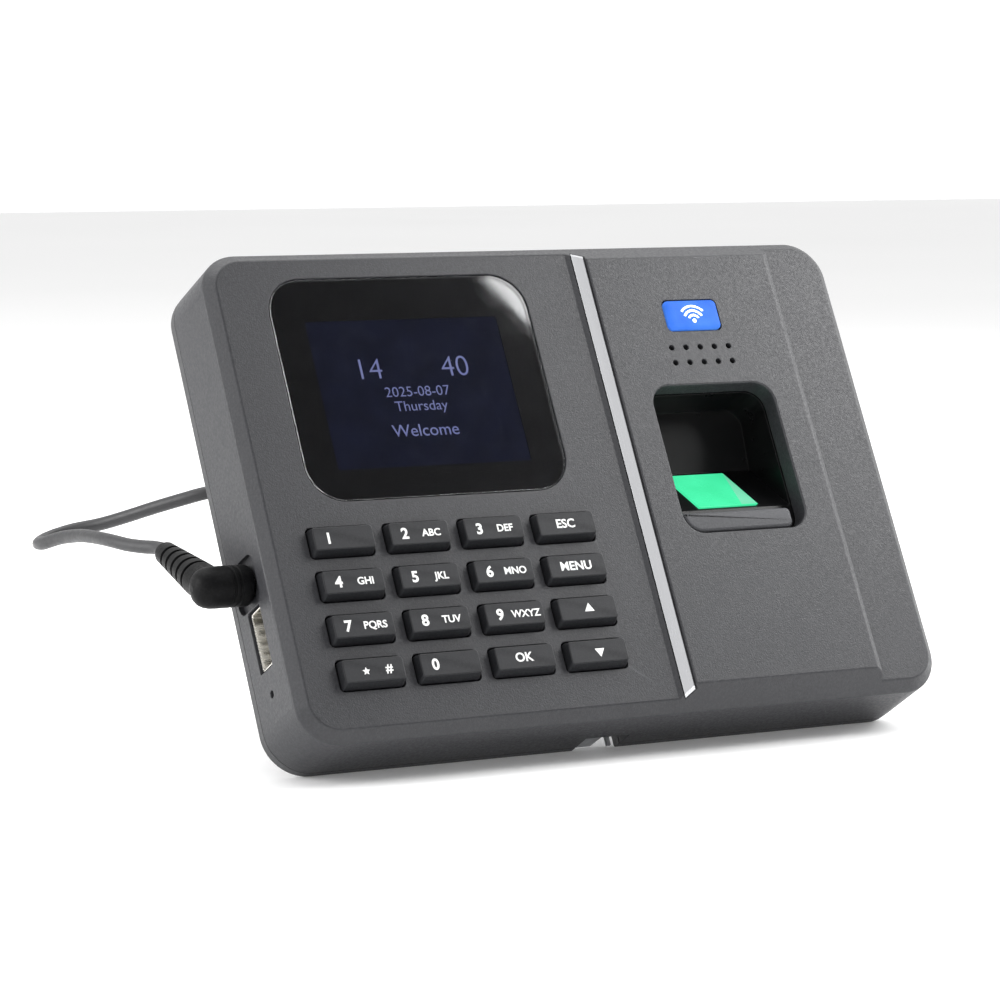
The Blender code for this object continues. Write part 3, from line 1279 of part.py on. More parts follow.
def make_usb_plug(cord_material):
    """Plug at the lead's far end, flat on the desk beside the coil."""
    body_material = make_material("usb_plug_black", (0.03, 0.03, 0.032), 0.5)
    shell_material = make_material("usb_plug_nickel", (0.72, 0.72, 0.7), 0.25, metallic=1.0)
    start_x = COIL_CENTRE[0] + USB_PLUG_PLACE[0]
    centre_y = COIL_CENTRE[1] + USB_PLUG_PLACE[1]
    level = USB_PLUG_PLACE[2]
    height, length, width = USB_PLUG_BODY
    rings = []
    for along, share in ((0.0, 0.5), (5.0 * MM, 0.62), (6.0 * MM, 0.9), (7.5 * MM, 1.0),
                         (length - 0.6 * MM, 1.0), (length, 0.93)):
        outline = rounded_rectangle(width * share, height * share, 1.6 * MM * share, 3,
                                    (start_x, level))
        rings.append([(x, centre_y - along, z) for x, z in outline])
    bm = bmesh.new()
    add_loft(bm, rings)
    make_object("usb_plug_body", bm, body_material, None)

    shell_start = centre_y - length - GAP
    shell_height, shell_length, shell_width = USB_PLUG_SHELL
    bm = bmesh.new()
    centred_box(bm, (start_x, shell_start - shell_length / 2, level),
                (shell_width, shell_length, shell_height))
    shell = make_object("usb_plug_shell", bm, shell_material, None)
    bm = bmesh.new()
    centred_box(bm, (start_x, shell_start - shell_length / 2 - 1.5 * MM, level),
                (shell_width - 0.8 * MM, shell_length, shell_height - 0.8 * MM))
    boolean(shell, make_cutter("usb_plug_cutter", bm, None))

    make_tube("cord_tail", tail_knots(), cord_material)


def tail_knots():
    """Hand-chosen route of the lead's last stretch, from the coil's lowest turn to its plug."""
    bend = [(24.0, 17.2, 1.9), (30.5, 14.6, 2.5), (35.8, 10.6, 3.4), (39.0, 5.4, 4.2),
            (40.0, 1.4, 4.6)]
    angle = radians(50.0)
    reach = COIL_MIDDLE_RADIUS + COIL_WIDTH / 2 + CORD_DIAMETER / 2 + GAP
    low = COIL_BASE + CORD_DIAMETER / 2
    knots = [(COIL_CENTRE[0] + reach * cos(angle), COIL_CENTRE[1] + reach * sin(angle), low)]
    knots += [(COIL_CENTRE[0] + x * MM, COIL_CENTRE[1] + y * MM, z * MM) for x, y, z in bend]
    x, y, level = USB_PLUG_PLACE
    knots.append((COIL_CENTRE[0] + x, COIL_CENTRE[1] + y + GAP, level))
    return knots


def main():
    remove_everything()
    pose = bpy.data.objects.new("desk_pose", None)
    bpy.context.scene.collection.objects.link(pose)
    pose.location = (0.0, POSE_Y, POSE_Z)
    pose.rotation_euler = (pi / 2 - LEAN, 0.0, 0.0)

    screw_steel = make_material("screw_steel", (0.45, 0.45, 0.46), 0.35, metallic=1.0)
    make_front_shell(pose)
    make_back_cover(pose)
    make_cover_screws(pose, screw_steel)
    make_display(pose)
    make_trim_strip(pose)
    make_badge(pose)
    make_keys(pose)
    make_keypad_layers(pose)
    make_finger_guide(pose)
    make_sensor(pose)
    make_finger_sill(pose)
    make_speaker(pose)
    make_dc_jack(pose)
    make_usb_port(pose)
    make_reset_switch(pose)
    make_main_board(pose)
    make_board_parts(pose)
    make_stand(pose)
    make_stand_screws(pose, screw_steel)
    make_stand_pads()
    clip_centre = make_cord_clip()
    make_dc_plug()
    cord_material = make_lead(clip_centre)
    make_usb_plug(cord_material)


main()
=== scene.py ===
"""Fingerprint scanner terminal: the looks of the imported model, built round its fixed frame.

Metres throughout. Pieces of the housing, the stand and the ports are drawn in the face frame (x
across the face, y up the face from its lower edge, z out of it, main face at z = 0), which the
packed lens mount places. The lead, its plugs and tie and the foot pads are drawn in the frame's
own coordinates.
"""
import json
from math import atan2, ceil, cos, pi, radians, sin, tan

import bmesh
import bpy
from mathutils import Matrix, Vector

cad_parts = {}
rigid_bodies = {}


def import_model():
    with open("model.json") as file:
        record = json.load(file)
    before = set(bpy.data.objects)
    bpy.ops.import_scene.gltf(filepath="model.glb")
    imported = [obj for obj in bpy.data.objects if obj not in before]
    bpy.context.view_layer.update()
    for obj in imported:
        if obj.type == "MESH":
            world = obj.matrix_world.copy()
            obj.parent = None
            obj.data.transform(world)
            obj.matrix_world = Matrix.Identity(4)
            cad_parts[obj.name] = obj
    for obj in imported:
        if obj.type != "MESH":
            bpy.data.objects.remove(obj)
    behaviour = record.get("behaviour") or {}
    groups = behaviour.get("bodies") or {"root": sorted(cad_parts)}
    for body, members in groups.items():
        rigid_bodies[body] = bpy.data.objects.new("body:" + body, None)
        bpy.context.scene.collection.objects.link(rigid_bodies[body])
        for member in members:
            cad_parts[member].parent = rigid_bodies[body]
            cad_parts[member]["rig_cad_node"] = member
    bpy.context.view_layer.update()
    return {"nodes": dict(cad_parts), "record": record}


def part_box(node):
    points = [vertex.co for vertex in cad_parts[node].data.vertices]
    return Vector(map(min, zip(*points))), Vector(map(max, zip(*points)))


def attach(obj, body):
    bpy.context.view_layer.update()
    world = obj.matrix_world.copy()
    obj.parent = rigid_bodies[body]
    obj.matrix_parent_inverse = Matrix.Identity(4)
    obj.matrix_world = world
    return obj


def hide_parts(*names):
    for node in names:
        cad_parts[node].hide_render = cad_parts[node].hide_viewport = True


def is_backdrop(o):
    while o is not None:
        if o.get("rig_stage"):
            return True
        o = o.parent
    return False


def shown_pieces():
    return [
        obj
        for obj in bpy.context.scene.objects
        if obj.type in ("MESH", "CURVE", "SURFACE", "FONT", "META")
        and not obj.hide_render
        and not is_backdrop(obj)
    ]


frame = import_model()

MM = 0.001

# Sizes that repeat the part's own
GAP = 0.3 * MM
BODY_WIDTH = 167.2 * MM
BODY_HEIGHT = 119.0 * MM
BODY_DEPTH = 22.4 * MM
PARTING_Z = -19.4 * MM
CORNER_RADIUS = 10.0 * MM
EDGE_BEVEL = 2.5 * MM
SIDE_DRAFT = 0.5 * MM
FACE_INSET = 3.0 * MM
SIDE_WALL = 2.2 * MM
FACE_WALL = 2.4 * MM
BACK_BEVEL = 0.6 * MM
PANEL_RISE = 2.6 * MM
PANEL_CENTRE_X = 39.15 * MM
PANEL_LEFT = 14.4 * MM
PANEL_RIGHT = 65.4 * MM
SLOPE_LEFT = 10.4 * MM
LENS_CENTRE = (-35.95 * MM, 83.6 * MM)
LENS_SIZE = (66.3 * MM, 55.2 * MM)
LENS_RADIUS = 9.0 * MM
LENS_SINK = 0.1 * MM
LENS_BOTTOM = -1.3 * MM
SCREEN_LIT = (48.96 * MM, 36.72 * MM)
SCREEN_CENTRE = (-35.95 * MM, 82.3 * MM)
SCREEN_MARGIN = 2.3 * MM
SCREEN_TOP = -1.9 * MM
KEY_ROWS = (
    ("key_1", "key_2", "key_3", "key_esc"),
    ("key_4", "key_5", "key_6", "key_menu"),
    ("key_7", "key_8", "key_9", "key_up"),
    ("key_star", "key_0", "key_ok", "key_down"),
)
KEY_FACE = (14.65 * MM, 5.4 * MM)
KEY_ROOT = (15.09 * MM, 6.6 * MM)
KEY_ROOT_DROP = 0.2 * MM
KEY_HEIGHT = 2.3 * MM
KEY_PITCH = (18.68 * MM, 10.39 * MM)
KEY_FIRST = (-64.43 * MM, 46.6 * MM)
KEY_CLEARANCE = 0.4 * MM
KEY_RADIUS = 0.7 * MM
KEY_EDGE = 0.26 * MM
KEY_FLANGE = (2.0 * MM, 0.8 * MM)          # how much wider than the root, and thickness
KEY_STEM = (8.0 * MM, 4.0 * MM, 0.5 * MM)
BADGE_SIZE = (15.0 * MM, 8.2 * MM)
BADGE_Y = 97.7 * MM
BADGE_RADIUS = 1.4 * MM
BADGE_POCKET = 0.9 * MM
SPEAKER_PITCH = 3.93 * MM
SPEAKER_Y = 87.4 * MM
SPEAKER_HOLE_RADIUS = 0.7 * MM
WINDOW_SIZE = (33.3 * MM, 37.5 * MM)
WINDOW_Y = 60.85 * MM
WINDOW_RADIUS = 5.0 * MM
GUIDE_WALL = 2.4 * MM
GUIDE_DEPTH = 17.5 * MM
PLATEN_FOOT = (50.6 * MM, -3.0 * MM)
PLATEN_TILT = radians(41.5)
PLATEN_LENGTH = 17.5 * MM
PLATEN_WIDTH = 16.3 * MM
BED_STEP = 0.4 * MM
SILL_HEIGHT = 5.1 * MM
SILL_TOP = 1.9 * MM
SILL_SHORT = 3.6 * MM
TRIM_START = 1.45 * MM
TRIM_WIDTH = 2.65 * MM
TRIM_THICKNESS = 0.8 * MM
TRIM_PROUD = 0.1 * MM
JACK_CENTRE = (42.4 * MM, -12.4 * MM)
JACK_RECESS = 11.6 * MM
JACK_RECESS_DEPTH = 1.2 * MM
JACK_MOUTH_RADIUS = 3.4 * MM
USB_CENTRE = (29.05 * MM, -11.3 * MM)
USB_HOLE = (14.5 * MM, 6.7 * MM)
USB_SHELL = (13.6 * MM, 5.9 * MM)
USB_TONGUE = (11.0 * MM, 1.8 * MM)
CONTACT_PITCH = 2.4 * MM
CONTACT_HALF = 0.5 * MM
RESET_CENTRE = (16.2 * MM, -11.2 * MM)
RESET_HOLE_RADIUS = 0.9 * MM
PORT_DEPTH = 4.2 * MM
BOSS_INSET = (6.6 * MM, 7.0 * MM)
BOSS_RADIUS = 2.9 * MM
SCREW_HOLE_RADIUS = 1.3 * MM
SCREW_HEAD_HEIGHT = 1.2 * MM
SCREW_PITCH = 0.4 * MM
SCREW_HEAD_RADIUS = 2.3 * MM
SCREW_SEAT = -21.0 * MM
NOTCH_X = -2.0 * MM
NOTCH_WIDTH = 11.5 * MM
NOTCH_DEPTH = 8.4 * MM
NOTCH_HEIGHT = 4.0 * MM
STAND_SHEET = 1.2 * MM
STAND_WIDTH = 84.0 * MM
STAND_PLATE = (8.0 * MM, 96.0 * MM)
STAND_FOOT = 18.0 * MM
STAND_REACH = 83.05 * MM
STAND_BEND = 0.9 * MM
STAND_SCREWS = ((-25.0 * MM, 60.0 * MM), (25.0 * MM, 60.0 * MM))
HOOK_X = -3.9 * MM
HOOK_WIDTH = 4.6 * MM
HOOK_LEVEL = 1.3 * MM
CORD_DIAMETER = 3.2 * MM
PLUG_RADIUS = 4.7 * MM
PLUG_LENGTH = 13.7 * MM
PLUG_LEG_LENGTH = 27.0 * MM
PLUG_LEG_RISE = radians(10.5)
PLUG_TIP_RADIUS = 2.6 * MM
FAR_PLUG_START = (62.0, 88.0, 4.6)         # mm
FAR_PLUG_SIZE = (16.0 * MM, 9.0 * MM)
COIL_CENTRE = (22.0 * MM, 90.0 * MM)
LEAD_SPACING = 2.5 * MM

LEFT = -BODY_WIDTH / 2
PAST = 1.0 * MM                            # how far a tool reaches past what it cuts

# The photograph's view, and the light: name, place, target, size and power of each softbox
CAMERA_TARGET = (-35.65 * MM, -50.59 * MM, 61.10 * MM)
CAMERA_DISTANCE = 768.04 * MM
CAMERA_AZIMUTH = radians(27.859)
CAMERA_ELEVATION = radians(6.366)
CAMERA_LENS = 126.13
MIDDLE = (0.0, 0.0, 0.05)
SOFTBOXES = (
    ("top_softbox", (0.05, 0.28, 1.05), MIDDLE, (1.3, 0.9), 9.0),
    ("left_softbox", (-1.1, 0.3, 0.4), MIDDLE, (0.8, 0.8), 9.0),
    ("right_softbox", (0.95, -0.05, 0.5), MIDDLE, (0.6, 0.8), 6.0),
    ("panel_softbox", (0.40, -0.24, 0.46), (0.06, -0.01, 0.09), (0.26, 0.3), 2.4),
)
SKY_STRENGTH = (1.1, 0.1)                  # white studio, and its dark flag
FLAG_DIRECTION = (0.46, -0.56, 0.69)
FLAG_EDGES = (0.55, 0.95)
FLOOR_SIZE = 4.0


def face_matrix():
    """Place of the face frame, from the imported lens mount."""
    mount = next(m for m in frame["record"]["mounts"] if m["name"] == "lens_face")
    out = Vector(mount["axis"]).normalized()
    across = Vector((1.0, 0.0, 0.0))
    up = out.cross(across)
    turn = Matrix((across, up, out)).transposed()
    place = Vector(mount["pos_m"]) - turn @ Vector((*LENS_CENTRE, -LENS_SINK))
    return Matrix.Translation(place) @ turn.to_4x4()


FACE = face_matrix()
WORLD = Matrix.Identity(4)


def to_world(x, y, z):
    return FACE @ Vector((x, y, z))


def to_face(y, z):
    """y and z in the face frame of a point given by its world y and z."""
    point = FACE.inverted() @ Vector((0.0, y, z))
    return point.y, point.z


# ---------------------------------------------------------------- camera, floor and light

def link(name, data):
    item = bpy.data.objects.new(name, data)
    bpy.context.scene.collection.objects.link(item)
    return item


def make_camera():
    across = cos(CAMERA_ELEVATION)
    away = Vector((-sin(CAMERA_AZIMUTH) * across, -cos(CAMERA_AZIMUTH) * across, sin(CAMERA_ELEVATION)))
    data = bpy.data.cameras.new("camera")
    data.sensor_width = 36.0
    data.lens = CAMERA_LENS
    data.clip_start = 0.01
    camera = link("camera", data)
    camera.location = Vector(CAMERA_TARGET) + away * CAMERA_DISTANCE
    camera.rotation_euler = (-away).to_track_quat("-Z", "Y").to_euler()
    bpy.context.scene.camera = camera


def area_light(name, place, target, size, power):
    data = bpy.data.lights.new(name, "AREA")
    data.shape = "RECTANGLE"
    data.size, data.size_y = size
    data.energy = power
    lamp = link(name, data)
    lamp.location = place
    lamp.rotation_euler = (Vector(target) - Vector(place)).to_track_quat("-Z", "Y").to_euler()


def make_sky():
    """White studio all round, with a dark flag that the display's lens mirrors."""
    world = bpy.data.worlds.new("studio")
    bpy.context.scene.world = world
    world.use_nodes = True
    nodes, links = world.node_tree.nodes, world.node_tree.links
    background = nodes["Background"]
    background.inputs["Color"].default_value = (1.0, 1.0, 1.0, 1.0)
    flag = nodes.new("ShaderNodeVectorMath")
    flag.operation = "DOT_PRODUCT"
    flag.inputs[1].default_value = FLAG_DIRECTION
    ramp = nodes.new("ShaderNodeMapRange")
    for name, value in zip(("From Min", "From Max", "To Min", "To Max"), FLAG_EDGES + SKY_STRENGTH):
        ramp.inputs[name].default_value = value
    links.new(nodes.new("ShaderNodeTexCoord").outputs["Generated"], flag.inputs[0])
    links.new(flag.outputs["Value"], ramp.inputs["Value"])
    links.new(ramp.outputs[0], background.inputs["Strength"])


def make_studio():
    make_sky()
    for softbox in SOFTBOXES:
        area_light(*softbox)
    view = bpy.context.scene.view_settings
    view.view_transform = "Standard"
    view.look = "None"
    view.exposure = 0.0
    view.gamma = 1.0

    bm = bmesh.new()
    bmesh.ops.create_grid(bm, x_segments=8, y_segments=8, size=FLOOR_SIZE)
    mesh = bpy.data.meshes.new("floor")
    bm.to_mesh(mesh)
    bm.free()
    floor = link("floor", mesh)
    paper = Finish("floor_paper", (0.93, 0.93, 0.93), 0.85)
    paper.vary(0.4, 0.02)
    paper.set(Emission_Color=(1.0, 1.0, 1.0, 1.0), Emission_Strength=0.1)
    mesh.materials.append(paper.done())
    floor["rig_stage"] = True


# ---------------------------------------------------------------- finishes

class Finish:
    """A procedural material built up from a Principled shader in object coordinates."""

    def __init__(self, name, colour, roughness, metallic=0.0):
        self.material = bpy.data.materials.new(name)
        self.material.use_nodes = True
        tree = self.material.node_tree
        self.nodes, self.links = tree.nodes, tree.links
        self.shader = self.nodes["Principled BSDF"]
        self.shader.inputs["Base Color"].default_value = (*colour, 1.0)
        self.shader.inputs["Roughness"].default_value = roughness
        self.shader.inputs["Metallic"].default_value = metallic
        self.material.diffuse_color = (*colour, 1.0)
        self.colour = None
        self.base = (*colour, 1.0)
        self.normal = None
        self.place = self.nodes.new("ShaderNodeTexCoord").outputs["Object"]

    def set(self, **sockets):
        for name, value in sockets.items():
            self.shader.inputs[name.replace("_", " ")].default_value = value
        return self

    def noise(self, size, detail=2.0, stretch=None, kind=None):
        """Noise with features of a size in metres, drawn out by a factor along each axis."""
        place = self.place
        if stretch:
            mapping = self.nodes.new("ShaderNodeMapping")
            mapping.inputs["Scale"].default_value = [1.0 / s for s in stretch]
            self.links.new(place, mapping.inputs["Vector"])
            place = mapping.outputs["Vector"]
        texture = self.nodes.new(kind or "ShaderNodeTexNoise")
        texture.inputs["Scale"].default_value = 1.0 / size
        if not kind:
            texture.inputs["Detail"].default_value = detail
        self.links.new(place, texture.inputs["Vector"])
        return texture.outputs[0]

    def ranged(self, source, low, high, start=0.3, end=0.7):
        node = self.nodes.new("ShaderNodeMapRange")
        for name, value in (("From Min", start), ("From Max", end), ("To Min", low), ("To Max", high)):
            node.inputs[name].default_value = value
        self.links.new(source, node.inputs["Value"])
        return node.outputs[0]

    def mix(self, factor, colour):
        node = self.nodes.new("ShaderNodeMix")
        node.data_type = "RGBA"
        self.links.new(factor, node.inputs[0])
        node.inputs[6].default_value = self.base
        if self.colour:
            self.links.new(self.colour, node.inputs[6])
        node.inputs[7].default_value = (*colour, 1.0)
        self.colour = node.outputs[2]
        return self

    def vary(self, size, amount, stretch=None, detail=3.0):
        """Lighter and darker cloudiness of the base colour."""
        noise = self.noise(size, detail, stretch)
        light = tuple(min(1.0, c * (1 + amount) + amount * 0.02) for c in self.base[:3])
        dark = tuple(c * (1 - amount) for c in self.base[:3])
        self.mix(self.ranged(noise, 0.0, 1.0, 0.5, 0.75), light)
        self.mix(self.ranged(noise, 1.0, 0.0, 0.25, 0.5), dark)
        return self

    def rough(self, size, low, high, stretch=None):
        noise = self.noise(size, 3.0, stretch)
        self.links.new(self.ranged(noise, low, high), self.shader.inputs["Roughness"])
        return self

    def bump(self, size, height, strength=1.0, stretch=None):
        node = self.nodes.new("ShaderNodeBump")
        node.inputs["Strength"].default_value = strength
        node.inputs["Distance"].default_value = height
        self.links.new(self.noise(size, 2.0, stretch), node.inputs["Height"])
        if self.normal:
            self.links.new(self.normal, node.inputs["Normal"])
        self.normal = node.outputs["Normal"]
        return self

    def soft_edges(self, radius):
        """Rounds sharp edges in shading."""
        node = self.nodes.new("ShaderNodeBevel")
        node.samples = 4
        node.inputs["Radius"].default_value = radius
        self.normal = node.outputs["Normal"]
        return self

    def edge_highlight_and_wear(self, colour, amount=0.5):
        """Convex edges lightened: a painted edge highlight, together with rubbed wear."""
        geometry = self.nodes.new("ShaderNodeNewGeometry")
        factor = self.ranged(geometry.outputs["Pointiness"], 0.0, amount, 0.53, 0.62)
        return self.mix(factor, colour)

    def done(self):
        if self.colour:
            self.links.new(self.colour, self.shader.inputs["Base Color"])
        if self.normal:
            self.links.new(self.normal, self.shader.inputs["Normal"])
        return self.material


def moulded(name, colour, roughness=0.5, grain=0.3 * MM, height=0.04 * MM, edge=0.2 * MM, gloss=0.5):
    """Moulded plastic with a spark-eroded grain."""
    finish = Finish(name, colour, roughness)
    finish.soft_edges(edge)
    finish.vary(12 * MM, 0.05)
    finish.vary(grain * 1.6, 0.16, detail=1.0)
    finish.rough(grain * 2, roughness - 0.07, roughness + 0.1)
    finish.bump(grain, height, 0.7)
    # Lighter convex edges: a painted edge highlight, together with rubbed wear
    finish.edge_highlight_and_wear(tuple(min(1.0, c * 1.5 + 0.01) for c in colour))
    finish.set(Specular_IOR_Level=gloss)
    return finish.done()


def metal(name, colour, roughness=0.3, stretch=None, size=0.4 * MM, height=0.006 * MM):
    """Bare or plated metal, brushed where stretch draws the noise out."""
    finish = Finish(name, colour, roughness, 1.0)
    finish.vary(3 * MM, 0.05, stretch)
    finish.rough(size, roughness - 0.08, roughness + 0.12, stretch)
    finish.bump(size, height, 0.5, stretch)
    # Lighter convex edges: a painted edge highlight, together with rubbed wear
    finish.edge_highlight_and_wear(tuple(min(1.0, c * 1.15) for c in colour))
    return finish.done()


def lit(name, colour, glow, power, roughness=0.2, spread=0.1, gloss=0.5, coat=0.6):
    """Lit glass or lens, a little uneven."""
    finish = Finish(name, colour, roughness)
    finish.vary(6 * MM, spread)
    finish.rough(2 * MM, roughness - 0.05, roughness + 0.05)
    finish.set(Emission_Strength=power, Specular_IOR_Level=gloss)
    finish.set(Coat_Weight=coat, Coat_Roughness=0.05)
    mix = finish.nodes.new("ShaderNodeMix")
    mix.data_type = "RGBA"
    finish.links.new(finish.ranged(finish.noise(7 * MM, 1.0), 0.0, 1.0), mix.inputs[0])
    mix.inputs[6].default_value = (*glow, 1.0)
    brighter = (min(1.0, c * (1 + 2 * spread) + spread * 0.1) for c in glow)
    mix.inputs[7].default_value = (*brighter, 1.0)
    finish.links.new(mix.outputs[2], finish.shader.inputs["Emission Color"])
    return finish.done()


def make_finishes():
    f = {}
    f["shell"] = moulded("charcoal_plastic_look", (0.029, 0.0295, 0.033), 0.44, 0.34 * MM, 0.07 * MM,
                         gloss=0.42)
    f["key"] = moulded("key_rubber_look", (0.012, 0.0125, 0.0145), 0.5, 0.25 * MM, 0.03 * MM,
                       0.08 * MM, 0.3)
    f["cover"] = moulded("cover_plastic_look", (0.04, 0.0405, 0.043), 0.5, 0.35 * MM, 0.05 * MM)
    f["sill"] = moulded("sill_plastic_look", (0.05, 0.051, 0.056), 0.5, gloss=0.35)
    f["black"] = moulded("jack_black_look", (0.014, 0.014, 0.015), 0.38, 0.5 * MM, 0.01 * MM)
    well = Finish("guide_black_look", (0.004, 0.004, 0.0045), 0.3)
    well.soft_edges(0.3 * MM)
    well.vary(8 * MM, 0.1)
    well.rough(6 * MM, 0.27, 0.33)
    well.bump(0.5 * MM, 0.002 * MM, 0.3)
    well.set(Specular_IOR_Level=0.3)
    f["well"] = well.done()
    f["plug"] = moulded("plug_black_look", (0.003, 0.003, 0.0034), 0.45, 0.3 * MM, 0.015 * MM,
                        0.15 * MM, 0.1)
    f["clip"] = moulded("clip_nylon_look", (0.03, 0.03, 0.032), 0.45, 0.5 * MM, 0.02 * MM)
    f["pad"] = moulded("pad_rubber_look", (0.03, 0.03, 0.03), 0.8, 0.4 * MM, 0.05 * MM)
    f["mat"] = moulded("mat_silicone_look", (0.14, 0.14, 0.15), 0.7, 0.4 * MM, 0.03 * MM)
    f["chip"] = moulded("chip_black_look", (0.02, 0.02, 0.022), 0.5, 0.2 * MM, 0.02 * MM)
    f["silver"] = metal("trim_silver_look", (0.55, 0.555, 0.57), 0.3, (1.0, 40.0, 1.0))
    f["nickel"] = metal("usb_nickel_look", (0.74, 0.72, 0.67), 0.24, (30.0, 1.0, 1.0))
    f["zinc"] = metal("stand_zinc_look", (0.36, 0.365, 0.38), 0.42, None, 1.2 * MM, 0.004 * MM)
    f["screw"] = metal("screw_steel_look", (0.4, 0.4, 0.42), 0.32)
    f["steel"] = metal("module_steel_look", (0.58, 0.59, 0.61), 0.35, (20.0, 1.0, 1.0))
    f["foil"] = metal("battery_foil_look", (0.6, 0.62, 0.65), 0.4, None, 1.5 * MM, 0.05 * MM)

    cord = Finish("cord_black_look", (0.02, 0.02, 0.022), 0.38)
    cord.vary(3 * MM, 0.1)
    cord.rough(1 * MM, 0.36, 0.5)
    cord.bump(0.5 * MM, 0.01 * MM, 0.5)
    f["cord"] = cord.done()

    cloth = Finish("tie_fabric_look", (0.02, 0.02, 0.022), 0.9)
    cloth.vary(0.6 * MM, 0.4)
    cloth.rough(0.5 * MM, 0.8, 0.98)
    cloth.bump(0.35 * MM, 0.15 * MM, 1.0, (1.0, 0.35, 1.0))
    cloth.set(Sheen_Weight=0.4)
    f["cloth"] = cloth.done()

    board = Finish("board_green_look", (0.012, 0.1, 0.045), 0.35)
    board.vary(1.6 * MM, 0.35, (1.0, 1.0, 40.0), 0.0)
    board.mix(board.ranged(board.noise(2.4 * MM, 0.0, None, "ShaderNodeTexVoronoi"), 1.0, 0.0, 0.1, 0.14),
              (0.55, 0.52, 0.4))
    board.rough(1 * MM, 0.3, 0.45)
    board.bump(1.2 * MM, 0.03 * MM, 0.5)
    f["board"] = board.done()

    legend = Finish("legend_white_look", (0.86, 0.86, 0.85), 0.5)
    legend.vary(0.8 * MM, 0.05)
    legend.rough(0.5 * MM, 0.42, 0.6)
    legend.bump(0.3 * MM, 0.01 * MM, 0.5)
    f["legend"] = legend.done()

    glass = Finish("lens_glass_look", (0.97, 0.98, 1.0), 0.03)
    glass.set(Transmission_Weight=1.0, IOR=1.46, Specular_IOR_Level=0.05)
    glass.rough(8 * MM, 0.02, 0.035)
    f["glass"] = glass.done()

    mask = Finish("lens_mask_look", (0.0025, 0.0025, 0.003), 0.35)
    mask.vary(5 * MM, 0.15)
    mask.rough(1 * MM, 0.3, 0.42)
    mask.bump(0.4 * MM, 0.004 * MM, 0.4)
    mask.set(Specular_IOR_Level=0.04)
    f["mask"] = mask.done()

    f["screen"] = lit("screen_navy_look", (0.001, 0.0015, 0.004), (0.05, 0.07, 0.26), 0.04, 0.3,
                      0.25, 0.01, 0.0)
    f["screen_text"] = lit("screen_text_look", (0.05, 0.06, 0.15), (0.42, 0.46, 0.95), 0.3, 0.3,
                           0.1, 0.03, 0.0)
    f["badge"] = lit("badge_blue_look", (0.01, 0.05, 0.3), (0.05, 0.2, 0.85), 0.55, 0.3,
                     0.3, 0.04, 0.0)
    f["badge_mark"] = lit("badge_mark_look", (0.7, 0.8, 0.95), (0.62, 0.8, 1.0), 0.6, 0.3, 0.05)
    f["platen"] = lit("platen_green_look", (0.02, 0.16, 0.08), (0.06, 0.9, 0.4), 0.92, 0.12, 0.08)
    f["facet"] = lit("platen_facet_look", (0.08, 0.25, 0.15), (0.2, 0.8, 0.5), 0.75, 0.12, 0.06)
    return f


# ---------------------------------------------------------------- mesh helpers

PLACES = {
    "z": lambda a, b, at: (a, b, at),
    "x": lambda a, b, at: (at, a, b),
    "y": lambda a, b, at: (a, at, b),
}


def rounded_rectangle(width, height, radius, segments=6, centre=(0.0, 0.0)):
    """Corner points of a rounded rectangle, counter-clockwise from the right side."""
    points = []
    for side_x, side_y, start in ((1, 1, 0.0), (-1, 1, pi / 2), (-1, -1, pi), (1, -1, 3 * pi / 2)):
        corner_x = centre[0] + side_x * (width / 2 - radius)
        corner_y = centre[1] + side_y * (height / 2 - radius)
        for step in range(segments + 1):
            angle = start + step * pi / 2 / segments
            points.append((corner_x + radius * cos(angle), corner_y + radius * sin(angle)))
    return points


def circle(radius, sides, centre=(0.0, 0.0)):
    return [(centre[0] + radius * cos(2 * pi * s / sides), centre[1] + radius * sin(2 * pi * s / sides))
            for s in range(sides)]


def loft(bm, rings, closed=False):
    """Skin through rings of points that have one count, with flat ends unless it closes on itself."""
    loops = [[bm.verts.new(point) for point in ring] for ring in rings]
    count = len(loops[0])
    following_loops = loops[1:] + (loops[:1] if closed else [])
    for lower, upper in zip(loops, following_loops):
        for index in range(count):
            after = (index + 1) % count
            bm.faces.new((lower[index], lower[after], upper[after], upper[index]))
    if not closed:
        bm.faces.new(list(reversed(loops[0])))
        bm.faces.new(loops[-1])
    return bm


def add_skin(bm, rings, axis="z", closed=False):
    """Skin through (outline, level) pairs: xy outlines along z, yz outlines along x, xz along y."""
    place = PLACES[axis]
    return loft(bm, [[place(a, b, at) for a, b in outline] for outline, at in rings], closed)


def skin(rings, axis="z", closed=False):
    return add_skin(bmesh.new(), rings, axis, closed)


def prisms(*solids, axis="z"):
    """Outlines, each drawn out from a low to a high level, as one mesh."""
    bm = bmesh.new()
    for outline, low, high in solids:
        add_skin(bm, [(outline, low), (outline, high)], axis)
    return bm


def boxes(*corners):
    """Boxes given by their low and high corners, as one mesh."""
    return prisms(*[([(low[0], low[1]), (high[0], low[1]), (high[0], high[1]), (low[0], high[1])],
                     low[2], high[2]) for low, high in corners])


def shade(mesh, smooth):
    """Smooth shading with sharp corners, and broad flat faces left flat."""
    mesh.shade_smooth()
    mesh.set_sharp_from_angle(angle=smooth)
    for polygon in mesh.polygons:
        if len(polygon.vertices) > 6:
            polygon.use_smooth = False


def as_mesh(name, bm, smooth=radians(40)):
    bmesh.ops.recalc_face_normals(bm, faces=bm.faces)
    mesh = bpy.data.meshes.new(name)
    bm.to_mesh(mesh)
    bm.free()
    shade(mesh, smooth)
    return mesh


def piece(name, bm, finish, body="terminal", replaces=(), matrix=FACE, smooth=radians(40)):
    """An object of the visible model, placed, riding and finished."""
    item = link(name, as_mesh(name, bm, smooth))
    item.matrix_world = matrix
    for one in finish if isinstance(finish, tuple) else (finish,):
        item.data.materials.append(one)
    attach(item, body)
    if replaces:
        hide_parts(*replaces)
    return item


